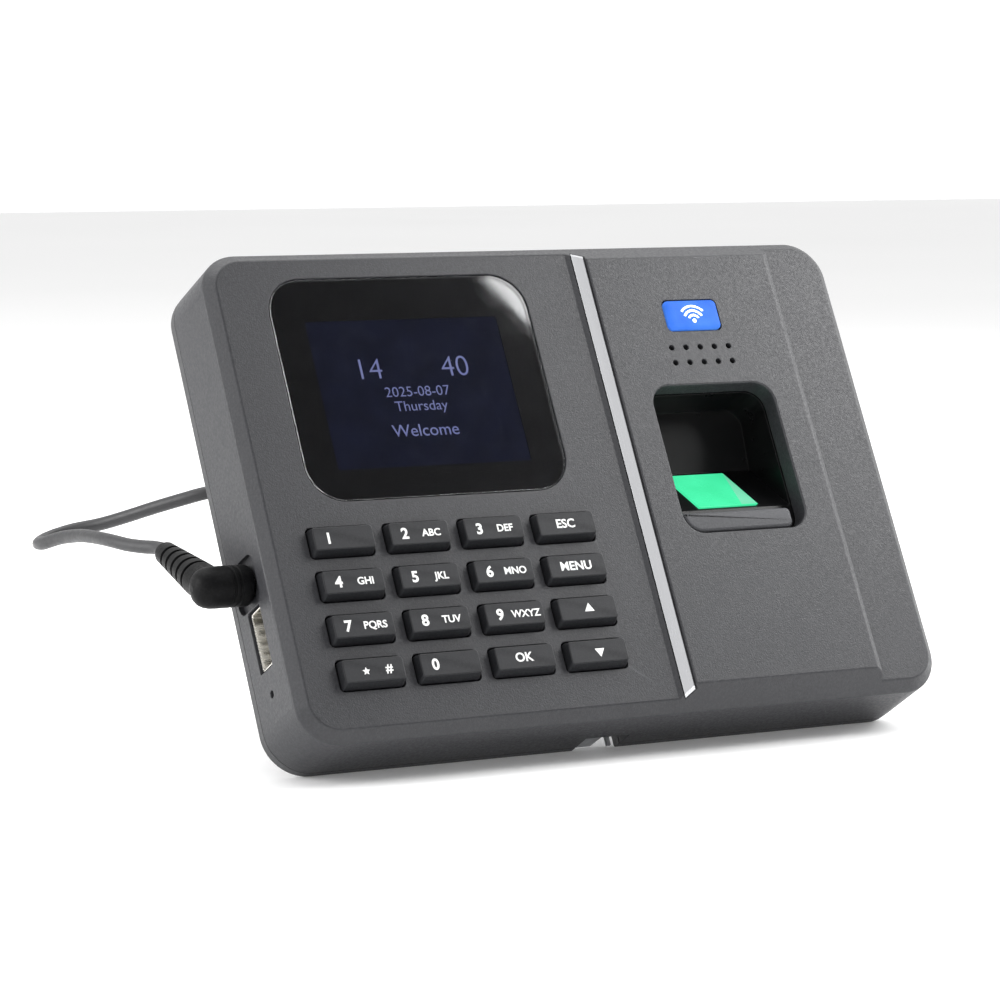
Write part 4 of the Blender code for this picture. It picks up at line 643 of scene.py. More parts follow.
def combine(item, bm, operation="DIFFERENCE", smooth=radians(40)):
    """Boolean with a temporary tool in the item's own frame, applied at once."""
    tool = link("tool", as_mesh("tool", bm))
    tool.matrix_world = item.matrix_world
    modifier = item.modifiers.new("combine", "BOOLEAN")
    modifier.object = tool
    modifier.operation = operation
    modifier.solver = "EXACT"
    bpy.context.view_layer.update()
    graph = bpy.context.evaluated_depsgraph_get()
    mesh = bpy.data.meshes.new_from_object(item.evaluated_get(graph))
    item.modifiers.remove(modifier)
    spent = (item.data, tool.data)
    item.data = mesh
    bpy.data.objects.remove(tool)
    for old in spent:
        bpy.data.meshes.remove(old)
    shade(mesh, smooth)
    mesh.name = item.name


def quarter(steps):
    return [pi / 2 * step / steps for step in range(steps + 1)]


def mouth(outline_at, low, top, rim):
    """Hole cutter whose mouth at level top is rounded outwards by rim, and flares above it."""
    rings = [(outline_at(0.0), low), (outline_at(0.0), top - rim)]
    for degrees in (22, 45, 66):
        angle = radians(degrees)
        rings.append((outline_at(rim * (1 - cos(angle))), top - rim + rim * sin(angle)))
    clear = 0.4 * MM
    lift = clear - (-rim + rim * sin(angle))
    rings.append((outline_at(rim * (1 - cos(angle)) + lift / 0.5), top + clear))
    return rings


def rounded_top(outline_at, low, top, edge, steps=4, lower_edge=0.0):
    """Solid whose rims are rounded by edge and lower_edge, its plan drawn in by outline_at."""
    rings = [(outline_at(lower_edge * (1 - sin(angle))), low + lower_edge * (1 - cos(angle)))
             for angle in quarter(steps)[:-1 if lower_edge else 0]]
    rings.append((outline_at(0.0), low + lower_edge))
    rings += [(outline_at(edge * (1 - cos(angle))), top - edge + edge * sin(angle))
              for angle in quarter(steps)]
    return rings


def body_outline(inset, segments=14):
    return rounded_rectangle(BODY_WIDTH - 2 * inset, BODY_HEIGHT - 2 * inset, CORNER_RADIUS - inset,
                             segments, centre=(0.0, BODY_HEIGHT / 2))


def grown(width, height, radius, centre, segments=6):
    """Function that gives a rounded rectangle grown by a margin."""
    return lambda grow: rounded_rectangle(width + 2 * grow, height + 2 * grow,
                                          max(radius + grow, 0.02 * MM), segments, centre)


def shrunk(width, height, radius, centre, segments=6):
    """Function that gives a rounded rectangle drawn in by an inset."""
    return lambda inset: rounded_rectangle(width - 2 * inset, height - 2 * inset,
                                           max(radius - inset * 0.6, 0.05 * MM), segments, centre)


def slope_point(along, above=0.0):
    """x and z of a point on the slope up to the panel."""
    angle = atan2(PANEL_RISE, PANEL_LEFT - SLOPE_LEFT)
    return (SLOPE_LEFT + along * cos(angle) - above * sin(angle),
            along * sin(angle) + above * cos(angle))


# ---------------------------------------------------------------- supply lead

# The loop behind the housing, the fall from the clip and the bend to the far plug, in mm
LOOP = (
    (-92.9, 12.9, 47.0), (-94.9, 19.2, 46.9), (-96.7, 26.8, 47.3), (-97.5, 37.2, 47.1),
    (-97.7, 43.6, 46.6), (-98.9, 53.1, 45.1), (-100.4, 60.1, 43.2), (-99.8, 65.1, 42.6),
    (-96.1, 68.4, 43.4), (-91.0, 67.1, 45.0), (-85.2, 62.1, 46.7), (-80.2, 55.1, 49.3),
    (-77.1, 50.1, 51.2), (-72.2, 43.1, 53.8), (-67.6, 38.3, 55.7), (-60.4, 34.9, 56.8),
    (-51.0, 34.4, 57.3),
)
FALL = (
    (-16.0, 38.0, 53.0), (-10.5, 43.5, 42.0), (-7.8, 50.0, 30.0), (-6.2, 57.5, 19.5),
    (-5.0, 66.0, 12.8), (-3.4, 75.0, 9.9), (-1.3, 84.0, 9.1),
)
BEND = ((30.5, 14.6, 2.5), (35.8, 10.6, 3.4), (39.0, 5.4, 4.2), (40.0, 1.4, 4.6), (40.0, -1.7, 4.6))

# The coil's section: radii and heights in mm, and the order in which the lead takes its places
COIL_RADII = (14.5, 18.5, 22.5)
COIL_HEIGHTS = (1.8, 5.4, 9.0)
COIL_CELLS = ((2, 2), (2, 1), (1, 1), (1, 2), (0, 2), (0, 1), (0, 0), (1, 0), (2, 0))
COIL_SPAN = 300.0                          # degrees wound in each place
COIL_STEP_OVER = 60.0                      # degrees over which it moves to the next
COIL_TOTAL = 2650.0

# Depth in mm and share of the radius, along the plug's body
PLUG_PROFILE = (
    (0.0, 0.80), (0.35, 0.92), (0.9, 0.985), (1.6, 1.0), (3.2, 1.0), (3.35, 0.94), (3.75, 0.94),
    (3.9, 1.0), (4.6, 1.0), (4.75, 0.94), (5.15, 0.94), (5.3, 1.0), (8.6, 1.0), (9.9, 0.985),
    (11.1, 0.93), (12.1, 0.82), (12.9, 0.64), (13.4, 0.42), (13.68, 0.18),
)
# Distance in mm and shares of the width and height, along the far plug
FAR_PLUG_PROFILE = (
    (0.0, 0.5, 0.46), (0.3, 0.56, 0.5), (1.3, 0.56, 0.5), (1.5, 0.5, 0.44), (2.1, 0.5, 0.44),
    (2.3, 0.6, 0.54), (3.3, 0.6, 0.54), (3.5, 0.54, 0.48), (4.1, 0.54, 0.48), (4.3, 0.66, 0.62),
    (5.2, 0.78, 0.78), (6.4, 0.93, 0.94), (7.6, 1.0, 1.0), (22.9, 1.0, 1.0), (23.6, 0.985, 0.97),
    (24.0, 0.94, 0.91),
)


def path_length(points):
    return sum((b - a).length for a, b in zip(points, points[1:]))


def smooth_points(knots, spacing):
    """Points at even steps on a centripetal curve through given knots."""
    points = [Vector(knot) for knot in knots]
    extended = [2 * points[0] - points[1], *points, 2 * points[-1] - points[-2]]
    dense = []
    for first, second, third, fourth in zip(extended, extended[1:], extended[2:], extended[3:]):
        times = [0.0]
        for start, end in ((first, second), (second, third), (third, fourth)):
            times.append(times[-1] + max((end - start).length, 1e-9) ** 0.5)
        t0, t1, t2, t3 = times
        for step in range(16):
            t = t1 + (t2 - t1) * step / 16
            a1 = first.lerp(second, (t - t0) / (t1 - t0))
            a2 = second.lerp(third, (t - t1) / (t2 - t1))
            a3 = third.lerp(fourth, (t - t2) / (t3 - t2))
            b1 = a1.lerp(a2, (t - t0) / (t2 - t0))
            b2 = a2.lerp(a3, (t - t1) / (t3 - t1))
            dense.append(b1.lerp(b2, (t - t1) / (t2 - t1)))
    dense.append(points[-1])
    total = path_length(dense)
    count = max(2, ceil(total / spacing))
    result = [dense[0]]
    walked = 0.0
    target = total / count
    for start, end in zip(dense, dense[1:]):
        length = (end - start).length
        while walked + length >= target - 1e-12 and len(result) < count:
            share = (target - walked) / length if length else 0.0
            result.append(start.lerp(end, min(max(share, 0.0), 1.0)))
            target += total / count
        walked += length
    result.append(dense[-1])
    return result


def plug_layout():
    """The plug's shoulder, the root and tip of its leg, and the leg's direction."""
    jack = to_world(LEFT, *JACK_CENTRE)
    shoulder_x = jack.x + JACK_RECESS_DEPTH - GAP
    root = Vector((shoulder_x - PLUG_LENGTH + PLUG_RADIUS, jack.y, jack.z))
    direction = Vector((0.0, cos(PLUG_LEG_RISE), sin(PLUG_LEG_RISE)))
    return shoulder_x, root, root + direction * PLUG_LEG_LENGTH, direction


def coil_points():
    """The lead wound clockwise through nine places of the coil's section."""
    points = []
    steps = 360
    last = len(COIL_CELLS) - 1
    for step in range(steps + 1):
        turned = COIL_TOTAL * step / steps
        cell = min(int(turned // COIL_SPAN), last)
        share = (turned - cell * COIL_SPAN - (COIL_SPAN - COIL_STEP_OVER)) / COIL_STEP_OVER
        share = min(max(share, 0.0), 1.0) if cell < last else 0.0
        share = share * share * (3 - 2 * share)
        here, after = COIL_CELLS[cell], COIL_CELLS[min(cell + 1, last)]
        radius = COIL_RADII[here[0]] * (1 - share) + COIL_RADII[after[0]] * share
        height = COIL_HEIGHTS[here[1]] * (1 - share) + COIL_HEIGHTS[after[1]] * share
        angle = radians(180.0 - turned)
        points.append(Vector((COIL_CENTRE[0] + radius * MM * cos(angle),
                              COIL_CENTRE[1] + radius * MM * sin(angle), height * MM)))
    return points


def make_lead(f):
    """The whole lead as one curve; returns it, the point where it leaves the plug, and its length."""
    _shoulder, _root, tip, direction = plug_layout()
    start = tip + direction * GAP
    low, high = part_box("cord_clip")
    clip = (low + high) / 2
    knots = [start, start + direction * 3 * MM]
    knots += [Vector(point) * MM for point in LOOP]
    knots += [Vector((clip.x + beside * MM, clip.y, clip.z)) for beside in (-7, -4, 0, 4, 7)]
    knots += [Vector(point) * MM for point in FALL]
    coil = coil_points()
    centre = Vector((*COIL_CENTRE, 0.0))
    end_knots = coil[-2:] + [centre + Vector(point) * MM for point in BEND]
    points = smooth_points(knots + coil[:2], LEAD_SPACING)[:-1] + coil[1:]
    points += smooth_points(end_knots, LEAD_SPACING)[2:]
    curve = bpy.data.curves.new("supply_lead", "CURVE")
    curve.dimensions = "3D"
    curve.bevel_depth = CORD_DIAMETER / 2
    curve.bevel_resolution = 4
    curve.use_fill_caps = True
    spline = curve.splines.new("POLY")
    spline.points.add(len(points) - 1)
    for place, point in zip(spline.points, points):
        place.co = (*point, 1.0)
    spline.use_smooth = True
    cord = link("supply_lead", curve)
    curve.materials.append(f["cord"])
    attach(cord, "terminal")
    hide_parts("supply_cord", "cord_coil", "cord_tail")
    return cord, start, path_length(points)


def make_plug(f):
    """Right-angled plug: a domed body across, and a tapered leg with strain relief ribs."""
    shoulder_x, root, _tip, direction = plug_layout()
    body = skin([(circle(PLUG_RADIUS * share, 48, (root.y, root.z)), shoulder_x - depth * MM)
                 for depth, share in PLUG_PROFILE], "x")
    plug = piece("power_plug", body, f["plug"], replaces=("dc_plug",), matrix=WORLD)

    stops = [(-2.2, 0.55), (-1.2, 0.82), (0.4, 0.98), (5.6, 1.0)]
    for rib in range(5):
        at = 6.4 + rib * 3.7
        stops += [(at, 1.0), (at + 0.2, 0.8), (at + 1.0, 0.8), (at + 1.2, 1.0), (at + 2.4, 1.0)]
    stops += [(26.2, 1.0), (27.0, 0.9)]
    across = Vector((1.0, 0.0, 0.0))
    up = direction.cross(across).normalized()
    tip = PLUG_TIP_RADIUS / PLUG_RADIUS
    rings = []
    for along, share in stops:
        taper = min(max((along - 6.0) / (PLUG_LEG_LENGTH / MM - 6.0), 0.0), 1.0)
        wide = 0.92 + (tip - 0.92) * taper
        tall = 0.86 + (tip - 0.86) * taper
        middle = root + direction * (along * MM)
        rings.append([tuple(middle + across * (a * wide * share) + up * (b * tall * share))
                      for a, b in circle(PLUG_RADIUS, 40)])
    combine(plug, loft(bmesh.new(), rings), "UNION", radians(50))
    return plug


def make_far_plug(f):
    """Moulded plug at the lead's far end, with a grip, ribs and a contact tray."""
    start = Vector(FAR_PLUG_START) * MM
    rings = []
    for along, wide, tall in FAR_PLUG_PROFILE:
        outline = rounded_rectangle(FAR_PLUG_SIZE[0] * wide, FAR_PLUG_SIZE[1] * tall,
                                    2.2 * MM * min(wide, tall), 6, (start.x, start.z))
        rings.append((outline, start.y - along * MM))
    body = piece("far_plug_body", skin(rings, "y"), f["plug"],
                 replaces=("usb_plug_body",), matrix=WORLD)
    ribs = [(start.x + side * 8.0 * MM, start.y - (11.0 + step * 2.0) * MM)
            for side in (-1, 1) for step in range(5)]
    bm = boxes(*[((x - 0.35 * MM, y - 0.45 * MM, start.z - 2.6 * MM),
                  (x + 0.35 * MM, y + 0.45 * MM, start.z + 2.6 * MM)) for x, y in ribs])
    combine(body, bm, "DIFFERENCE", radians(50))

    low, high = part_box("usb_plug_shell")
    middle = (low + high) / 2
    width, _length, height = high - low
    rings = []
    for inset, y in ((0.0, high.y), (0.0, low.y + 0.15 * MM), (0.12 * MM, low.y), (0.4 * MM, low.y),
                     (0.4 * MM, high.y - 1.5 * MM)):
        outline = rounded_rectangle(width - 2 * inset, height - 2 * inset, 0.4 * MM, 3,
                                    (middle.x, middle.z))
        rings.append((outline, y))
    shell = piece("far_plug_shell", skin(rings, "y"), f["nickel"],
                  replaces=("usb_plug_shell",), matrix=WORLD)
    top = middle.z + height / 2
    holes = [middle.x + side * 2.9 * MM for side in (-1, 1)]
    combine(shell, boxes(*[((x - 1.1 * MM, middle.y - 2.0 * MM, top - 0.35 * MM),
                            (x + 1.1 * MM, middle.y + 0.4 * MM, top + PAST)) for x in holes]))
    tray_top = middle.z + 0.1 * MM
    bm = boxes(((low.x + 0.7 * MM, low.y + 0.6 * MM, middle.z - 1.7 * MM),
                (high.x - 0.7 * MM, high.y - 1.7 * MM, tray_top)))
    tray = piece("far_plug_tray", bm, f["legend"], matrix=WORLD)
    lines = [middle.x + (contact - 1.5) * CONTACT_PITCH for contact in range(4)]
    bm = boxes(*[((x - CONTACT_HALF, low.y + 1.2 * MM, tray_top),
                  (x + CONTACT_HALF, high.y - 3.0 * MM, tray_top + 0.12 * MM)) for x in lines])
    contacts = piece("far_plug_contacts", bm, f["nickel"], matrix=WORLD)
    return [body, shell, tray, contacts]


# ---------------------------------------------------------------- housing

def outer_skin():
    """Outside of the front shell with its ridges slightly rounded."""
    bm = bmesh.new()
    foot, brow, face = [[bm.verts.new((x, y, z)) for x, y in body_outline(inset)]
                        for inset, z in ((0.0, PARTING_Z), (SIDE_DRAFT, -EDGE_BEVEL), (FACE_INSET, 0.0))]
    count = len(foot)
    step = count // 4
    profile = ((PANEL_RIGHT + 0.2 * MM, 0.0), (PANEL_RIGHT, PANEL_RISE - 1.0 * MM),
               (PANEL_RIGHT - 1.6 * MM, PANEL_RISE), (PANEL_LEFT, PANEL_RISE), (SLOPE_LEFT, 0.0))
    for index in range(count):
        after = (index + 1) % count
        bm.faces.new((foot[index], foot[after], brow[after], brow[index]))
    bm.faces.new(list(reversed(foot)))
    lower = [bm.verts.new((x, FACE_INSET + z, z)) for x, z in profile]
    upper = [bm.verts.new((x, BODY_HEIGHT - FACE_INSET - z, z)) for x, z in profile]
    for index in range(count):
        after = (index + 1) % count
        if index not in (step - 1, 3 * step - 1):
            bm.faces.new((brow[index], brow[after], face[after], face[index]))
    bm.faces.new([brow[step - 1], brow[step], face[step], *reversed(upper), face[step - 1]])
    bm.faces.new([brow[3 * step - 1], brow[3 * step], face[3 * step], *lower, face[3 * step - 1]])
    for index in range(len(upper) - 1):
        bm.faces.new((lower[index], upper[index], upper[index + 1], lower[index + 1]))
    bm.faces.new([face[3 * step], *face[3 * step + 1:], *face[:step], upper[0], lower[0]])
    bm.faces.new([*face[step:3 * step], lower[-1], upper[-1]])
    bmesh.ops.recalc_face_normals(bm, faces=bm.faces)
    bm.normal_update()
    ridges = [edge for edge in bm.edges
              if min(vert.co.z for vert in edge.verts) > PARTING_Z + 1 * MM
              and edge.calc_face_angle(0.0) > radians(15) and edge.is_convex]
    bmesh.ops.bevel(bm, geom=ridges, offset=0.3 * MM, offset_type="OFFSET", segments=3, profile=0.5,
                    affect="EDGES", clamp_overlap=True, loop_slide=True)
    return bm


def key_places():
    for row, names in enumerate(KEY_ROWS):
        for column, name in enumerate(names):
            yield name, KEY_FIRST[0] + column * KEY_PITCH[0], KEY_FIRST[1] - row * KEY_PITCH[1]


def boss_places():
    half = BODY_WIDTH / 2 - BOSS_INSET[0]
    return [(x, y) for x in (-half, half) for y in (BOSS_INSET[1], BODY_HEIGHT - BOSS_INSET[1])]


def posts(radius, sides, low, high, places=None):
    return prisms(*[(circle(radius, sides, place), low, high) for place in places or boss_places()])


def notch_block():
    left, right = NOTCH_X - NOTCH_WIDTH / 2, NOTCH_X + NOTCH_WIDTH / 2
    outline = [(left, -NOTCH_HEIGHT), (right, -NOTCH_HEIGHT), (right, NOTCH_HEIGHT), (left, NOTCH_HEIGHT)]
    return outline, -BODY_DEPTH - 2 * MM, -BODY_DEPTH + NOTCH_DEPTH


def make_housing(f):
    shell = piece("housing", outer_skin(), f["shell"], replaces=("front_shell",))
    combine(shell, skin([(body_outline(SIDE_WALL, 8), PARTING_Z - 2 * MM),
                         (body_outline(SIDE_WALL + SIDE_DRAFT, 8), -FACE_WALL - EDGE_BEVEL),
                         (body_outline(FACE_INSET + SIDE_WALL, 8), -FACE_WALL)]))

    through = -FACE_WALL - PAST
    bm = bmesh.new()
    for _name, x, y in key_places():
        hole = grown(KEY_ROOT[0] + 2 * KEY_CLEARANCE, KEY_ROOT[1] + 2 * KEY_CLEARANCE,
                     KEY_RADIUS + KEY_CLEARANCE, (x, y - KEY_ROOT_DROP))
        add_skin(bm, mouth(hole, through, 0.0, 0.16 * MM))
    opening = rounded_rectangle(SCREEN_LIT[0] + 2 * SCREEN_MARGIN + 2 * GAP,
                                SCREEN_LIT[1] + 2 * SCREEN_MARGIN + 2 * GAP, 1 * MM, 6, SCREEN_CENTRE)
    add_skin(bm, [(opening, through), (opening, 0.5 * MM)])
    window = grown(*WINDOW_SIZE, WINDOW_RADIUS, (PANEL_CENTRE_X, WINDOW_Y), 10)
    add_skin(bm, mouth(window, through, PANEL_RISE, 0.5 * MM))
    for row in range(2):
        for column in range(5):
            place = (PANEL_CENTRE_X + (column - 2) * SPEAKER_PITCH, SPEAKER_Y + (row - 0.5) * SPEAKER_PITCH)
            hole = lambda grow, place=place: circle(SPEAKER_HOLE_RADIUS + grow, 20, place)
            add_skin(bm, mouth(hole, through, PANEL_RISE, 0.14 * MM))
    combine(shell, bm)

    lens = grown(*LENS_SIZE, LENS_RADIUS, LENS_CENTRE, 10)
    badge = grown(*BADGE_SIZE, BADGE_RADIUS, (PANEL_CENTRE_X, BADGE_Y))
    bm = skin(mouth(lens, LENS_BOTTOM - GAP, 0.0, 0.2 * MM))
    combine(shell, add_skin(bm, mouth(badge, PANEL_RISE - BADGE_POCKET, PANEL_RISE, 0.15 * MM)))
    start = TRIM_START - 0.225 * MM
    end = TRIM_START + TRIM_WIDTH + 0.45 * MM
    channel = [slope_point(start, -1 * MM), slope_point(end, -1 * MM),
               slope_point(end, 3 * MM), slope_point(start, 3 * MM)]
    combine(shell, prisms((channel, -5 * MM, BODY_HEIGHT + 5 * MM), axis="y"))

    outside = LEFT - 2 * MM
    recess = rounded_rectangle(JACK_RECESS, JACK_RECESS, 2.6 * MM, 8, JACK_CENTRE)
    usb = rounded_rectangle(*USB_HOLE, 0.6 * MM, 5, USB_CENTRE)
    combine(shell, prisms((recess, outside, LEFT + JACK_RECESS_DEPTH), (usb, outside, LEFT + PORT_DEPTH),
                          (circle(RESET_HOLE_RADIUS, 24, RESET_CENTRE), outside, LEFT + PORT_DEPTH),
                          axis="x"))
    combine(shell, prisms((circle(JACK_MOUTH_RADIUS, 40, JACK_CENTRE), LEFT + 0.6 * MM, LEFT + PORT_DEPTH),
                          axis="x"))
    combine(shell, posts(BOSS_RADIUS, 24, PARTING_Z + GAP, -FACE_WALL + 0.8 * MM), "UNION")
    combine(shell, posts(SCREW_HOLE_RADIUS, 20, PARTING_Z - PAST, -10.4 * MM))
    combine(shell, prisms(notch_block()))


def make_cover(f):
    back = -BODY_DEPTH
    top = PARTING_Z - GAP
    rings = [(body_outline(BACK_BEVEL * (1 - sin(angle))), back + BACK_BEVEL * (1 - cos(angle)))
             for angle in quarter(4)]
    rings += [(body_outline(0.0), top - 0.15 * MM), (body_outline(0.15 * MM), top)]
    cover = piece("rear_cover", skin(rings), f["cover"], replaces=("back_cover",))
    combine(cover, prisms((body_outline(SIDE_WALL, 8), back + 2 * MM, PARTING_Z + 2 * MM)))

    head = SCREW_HEAD_RADIUS + GAP
    stops = ((head + 0.3 * MM, back - 0.3 * MM), (head, back + 0.3 * MM), (head, SCREW_SEAT),
             (SCREW_HOLE_RADIUS, SCREW_SEAT), (SCREW_HOLE_RADIUS, PARTING_Z + PAST))
    bm = bmesh.new()
    for place in boss_places():
        add_skin(bm, [(circle(radius, 32, place), z) for radius, z in stops])
    for place in STAND_SCREWS:
        hole = circle(SCREW_HOLE_RADIUS, 24, place)
        add_skin(bm, [(hole, back - PAST), (hole, PARTING_Z + PAST)])
    for row in range(8):
        slot = rounded_rectangle(22 * MM, 1.6 * MM, 0.78 * MM, 5, (62.5 * MM, (70 + row * 4.0) * MM))
        add_skin(bm, [(slot, back - PAST), (slot, back + 0.8 * MM)])
    combine(cover, bm)
    label = rounded_rectangle(27 * MM, 34 * MM, 2 * MM, 6, (-61.5 * MM, 72 * MM))
    grooves = [rounded_rectangle(24 * MM, 1.0 * MM, 0.45 * MM, 4, (-61.5 * MM, (24 + row * 3.0) * MM))
               for row in range(6)]
    combine(cover, prisms((label, back - PAST, back + 0.25 * MM),
                          *[(groove, back - PAST, back + 0.5 * MM) for groove in grooves], notch_block()))


def make_screw(name, node, place, head_end, seat, length, f):
    """Pan head screw with a cross recess, its head towards the back."""
    neck = seat - head_end
    dome = ((0.30, 0.0), (0.55, 0.05), (0.78, 0.17), (0.92, 0.35), (1.0, 0.6))
    rings = [(circle(SCREW_HEAD_RADIUS * share, 36), depth * MM) for share, depth in dome]
    rings += [(circle(SCREW_HEAD_RADIUS, 36), neck), (circle(1.0 * MM, 36), neck)]
    for turn in range(int((length - neck) / SCREW_PITCH)):
        rings.append((circle((1.0 if turn % 2 else 0.82) * MM, 36), neck + (turn + 0.5) * SCREW_PITCH))
    rings.append((circle(0.4 * MM, 36), length + 0.6 * MM))
    screw = piece(name, skin(rings), f["screw"], replaces=(node,),
                  matrix=FACE @ Matrix.Translation((*place, head_end)))
    for wide, tall in ((2.6, 0.62), (0.62, 2.6)):
        combine(screw, skin([(rounded_rectangle(wide * MM, tall * MM, 0.1 * MM, 2), -0.5 * MM),
                             (rounded_rectangle(wide * 0.6 * MM, tall * 0.7 * MM, 0.05 * MM, 2), 0.75 * MM)]))


# ---------------------------------------------------------------- display, strip and badge

# Text, place across and down the lit screen, capital height in mm, and weight
SCREEN_LINES = (
    ("14", 0.287, 0.322, 5.4, -0.012), ("40", 0.724, 0.322, 5.4, -0.012),
    ("2025-08-07", 0.500, 0.487, 2.6, -0.006), ("Thursday", 0.503, 0.585, 2.6, -0.004),
    ("Welcome", 0.495, 0.750, 3.1, 0.0),
)
CAPITAL = 0.729                            # height of a capital in the font at size 1


def make_display(f):
    plate = shrunk(LENS_SIZE[0] - 2 * GAP, LENS_SIZE[1] - 2 * GAP, LENS_RADIUS - GAP, LENS_CENTRE, 14)
    piece("lens_plate", skin(rounded_top(plate, LENS_BOTTOM, -LENS_SINK, 0.15 * MM, 3)), f["glass"],
          replaces=("display_lens",))
    bm = prisms((plate(0.1 * MM), LENS_BOTTOM - 0.16 * MM, LENS_BOTTOM - 0.04 * MM))
    mask = piece("lens_mask", bm, f["mask"])
    lit_area = rounded_rectangle(*SCREEN_LIT, 0.4 * MM, 3, SCREEN_CENTRE)
    combine(mask, prisms((lit_area, LENS_BOTTOM - PAST, LENS_BOTTOM + PAST)))
    panel = shrunk(SCREEN_LIT[0] + 2 * SCREEN_MARGIN, SCREEN_LIT[1] + 2 * SCREEN_MARGIN, 1 * MM,
                   SCREEN_CENTRE)
    piece("lit_screen", skin(rounded_top(panel, SCREEN_TOP - 1.2 * MM, SCREEN_TOP, 0.1 * MM, 2)),
          f["screen"], replaces=("display_screen",))
    bm = bmesh.new()
    for text, across, down, tall, weight in SCREEN_LINES:
        x = SCREEN_CENTRE[0] + (across - 0.5) * SCREEN_LIT[0]
        y = SCREEN_CENTRE[1] - (down - 0.5) * SCREEN_LIT[1]
        add_text(bm, text, (x, y, SCREEN_TOP + 0.03 * MM), tall * MM, weight)
    piece("screen_words", bm, f["screen_text"])


def add_text(bm, text, centre, height, weight):
    """Letters in Blender's own font as a thin solid, centred, with capitals of a height."""
    font = bpy.data.curves.new("letters", "FONT")
    font.body = text
    font.align_x = "CENTER"
    font.size = 1.0
    font.offset = weight
    font.extrude = 0.01
    font.resolution_u = 4
    holder = link("letters", font)
    bpy.context.view_layer.update()
    mesh = bpy.data.meshes.new_from_object(holder.evaluated_get(bpy.context.evaluated_depsgraph_get()))
    scale = height / CAPITAL
    xs = [vert.co.x for vert in mesh.vertices]
    middle = (min(xs) + max(xs)) / 2
    offset = len(bm.verts)
    bm.from_mesh(mesh)
    bm.verts.ensure_lookup_table()
    for vert in bm.verts[offset:]:
        x, y, z = vert.co
        vert.co = (centre[0] + (x - middle) * scale, centre[1] + (y - CAPITAL / 2) * scale,
                   centre[2] + z * 0.0015)
    bpy.data.objects.remove(holder)
    bpy.data.curves.remove(font)
    bpy.data.meshes.remove(mesh)


def make_trim(f):
    edge = 0.12 * MM
    low, high = TRIM_PROUD - TRIM_THICKNESS, TRIM_PROUD
    start, end = TRIM_START, TRIM_START + TRIM_WIDTH
    section = [slope_point(start, low), slope_point(end, low), slope_point(end, high - edge),
               slope_point(end - edge * 0.3, high - edge * 0.3), slope_point(end - edge, high),
               slope_point(start + edge, high), slope_point(start + edge * 0.3, high - edge * 0.3),
               slope_point(start, high - edge)]
    near = [[(x, FACE_INSET + z + inset, z * share) for x, z in section]
            for inset, share in ((0.0, 0.96), (edge, 1.0))]
    far = [[(x, BODY_HEIGHT - FACE_INSET - z - inset, z * share) for x, z in section]
           for inset, share in ((edge, 1.0), (0.0, 0.96))]
    piece("silver_strip", loft(bmesh.new(), near + far), f["silver"],
          replaces=("trim_strip",))


def arc_points(radius, reach, steps=14):
    angles = [radians(90 - reach + 2 * reach * step / steps) for step in range(steps + 1)]
    return [(radius * MM * cos(angle), radius * MM * sin(angle)) for angle in angles]


def make_badge(f):
    """Domed lit lens with a mark of a dot and plain nested arcs."""
    floor = PANEL_RISE - BADGE_POCKET + GAP
    top = PANEL_RISE + 0.6 * MM
    plan = shrunk(BADGE_SIZE[0] - 2 * GAP, BADGE_SIZE[1] - 2 * GAP, BADGE_RADIUS - GAP / 2,
                  (PANEL_CENTRE_X, BADGE_Y))
    dome = ((0.0, 0.55), (0.08, 0.34), (0.25, 0.18), (0.6, 0.07), (1.3, 0.02), (2.2, 0.0))
    rings = [(plan(0.0), floor)] + [(plan(inset * MM), top - drop * MM) for inset, drop in dome]
    piece("badge_lens", skin(rings), f["badge"], replaces=("badge",), smooth=radians(70))
    centre = (PANEL_CENTRE_X, BADGE_Y - 1.7 * MM)
    shapes = [arc_points(0.55, 180.0)[:-1]]
    for inner, outer, reach in ((1.15, 1.75, 62.0), (2.35, 2.95, 62.0), (3.55, 4.1, 50.0)):
        shapes.append(arc_points(outer, reach) + arc_points(inner, reach)[::-1])
    bm = prisms(*[([(centre[0] + x, centre[1] + y) for x, y in shape], top - 0.05 * MM, top + 0.03 * MM)
                  for shape in shapes])
    piece("badge_mark", bm, f["badge_mark"])


# ---------------------------------------------------------------- keys

LEGENDS = {
    "key_1": ("1",), "key_2": ("2", "ABC"), "key_3": ("3", "DEF"), "key_esc": (None, "ESC"),
    "key_4": ("4", "GHI"), "key_5": ("5", "JKL"), "key_6": ("6", "MNO"), "key_menu": (None, "MENU"),
    "key_7": ("7", "PQRS"), "key_8": ("8", "TUV"), "key_9": ("9", "WXYZ"), "key_up": (None, "up"),
    "key_star": ("*", "#"), "key_0": ("0",), "key_ok": (None, "OK"), "key_down": (None, "down"),
}
# x, y and capital height in mm, and weight
DIGIT = (-3.75, 0.1, 2.6, 0.03)
LETTERS = (2.75, 0.0, 1.75, 0.022)
WORD = (-0.3, 0.1, 2.15, 0.022)
HASH = (3.6, 0.1, 2.1, 0.02)
INK = 0.015 * MM


def add_mark(bm, centre, radii, degrees, squeeze, z):
    """Flat star or arrow: points at angles, their radii taken in turn."""
    points = []
    for index, degree in enumerate(degrees):
        radius = radii[index % len(radii)]
        points.append((centre[0] + radius * squeeze * cos(radians(degree)),
                       centre[1] + radius * sin(radians(degree))))
    add_skin(bm, [(points, z - INK), (points, z + INK)])


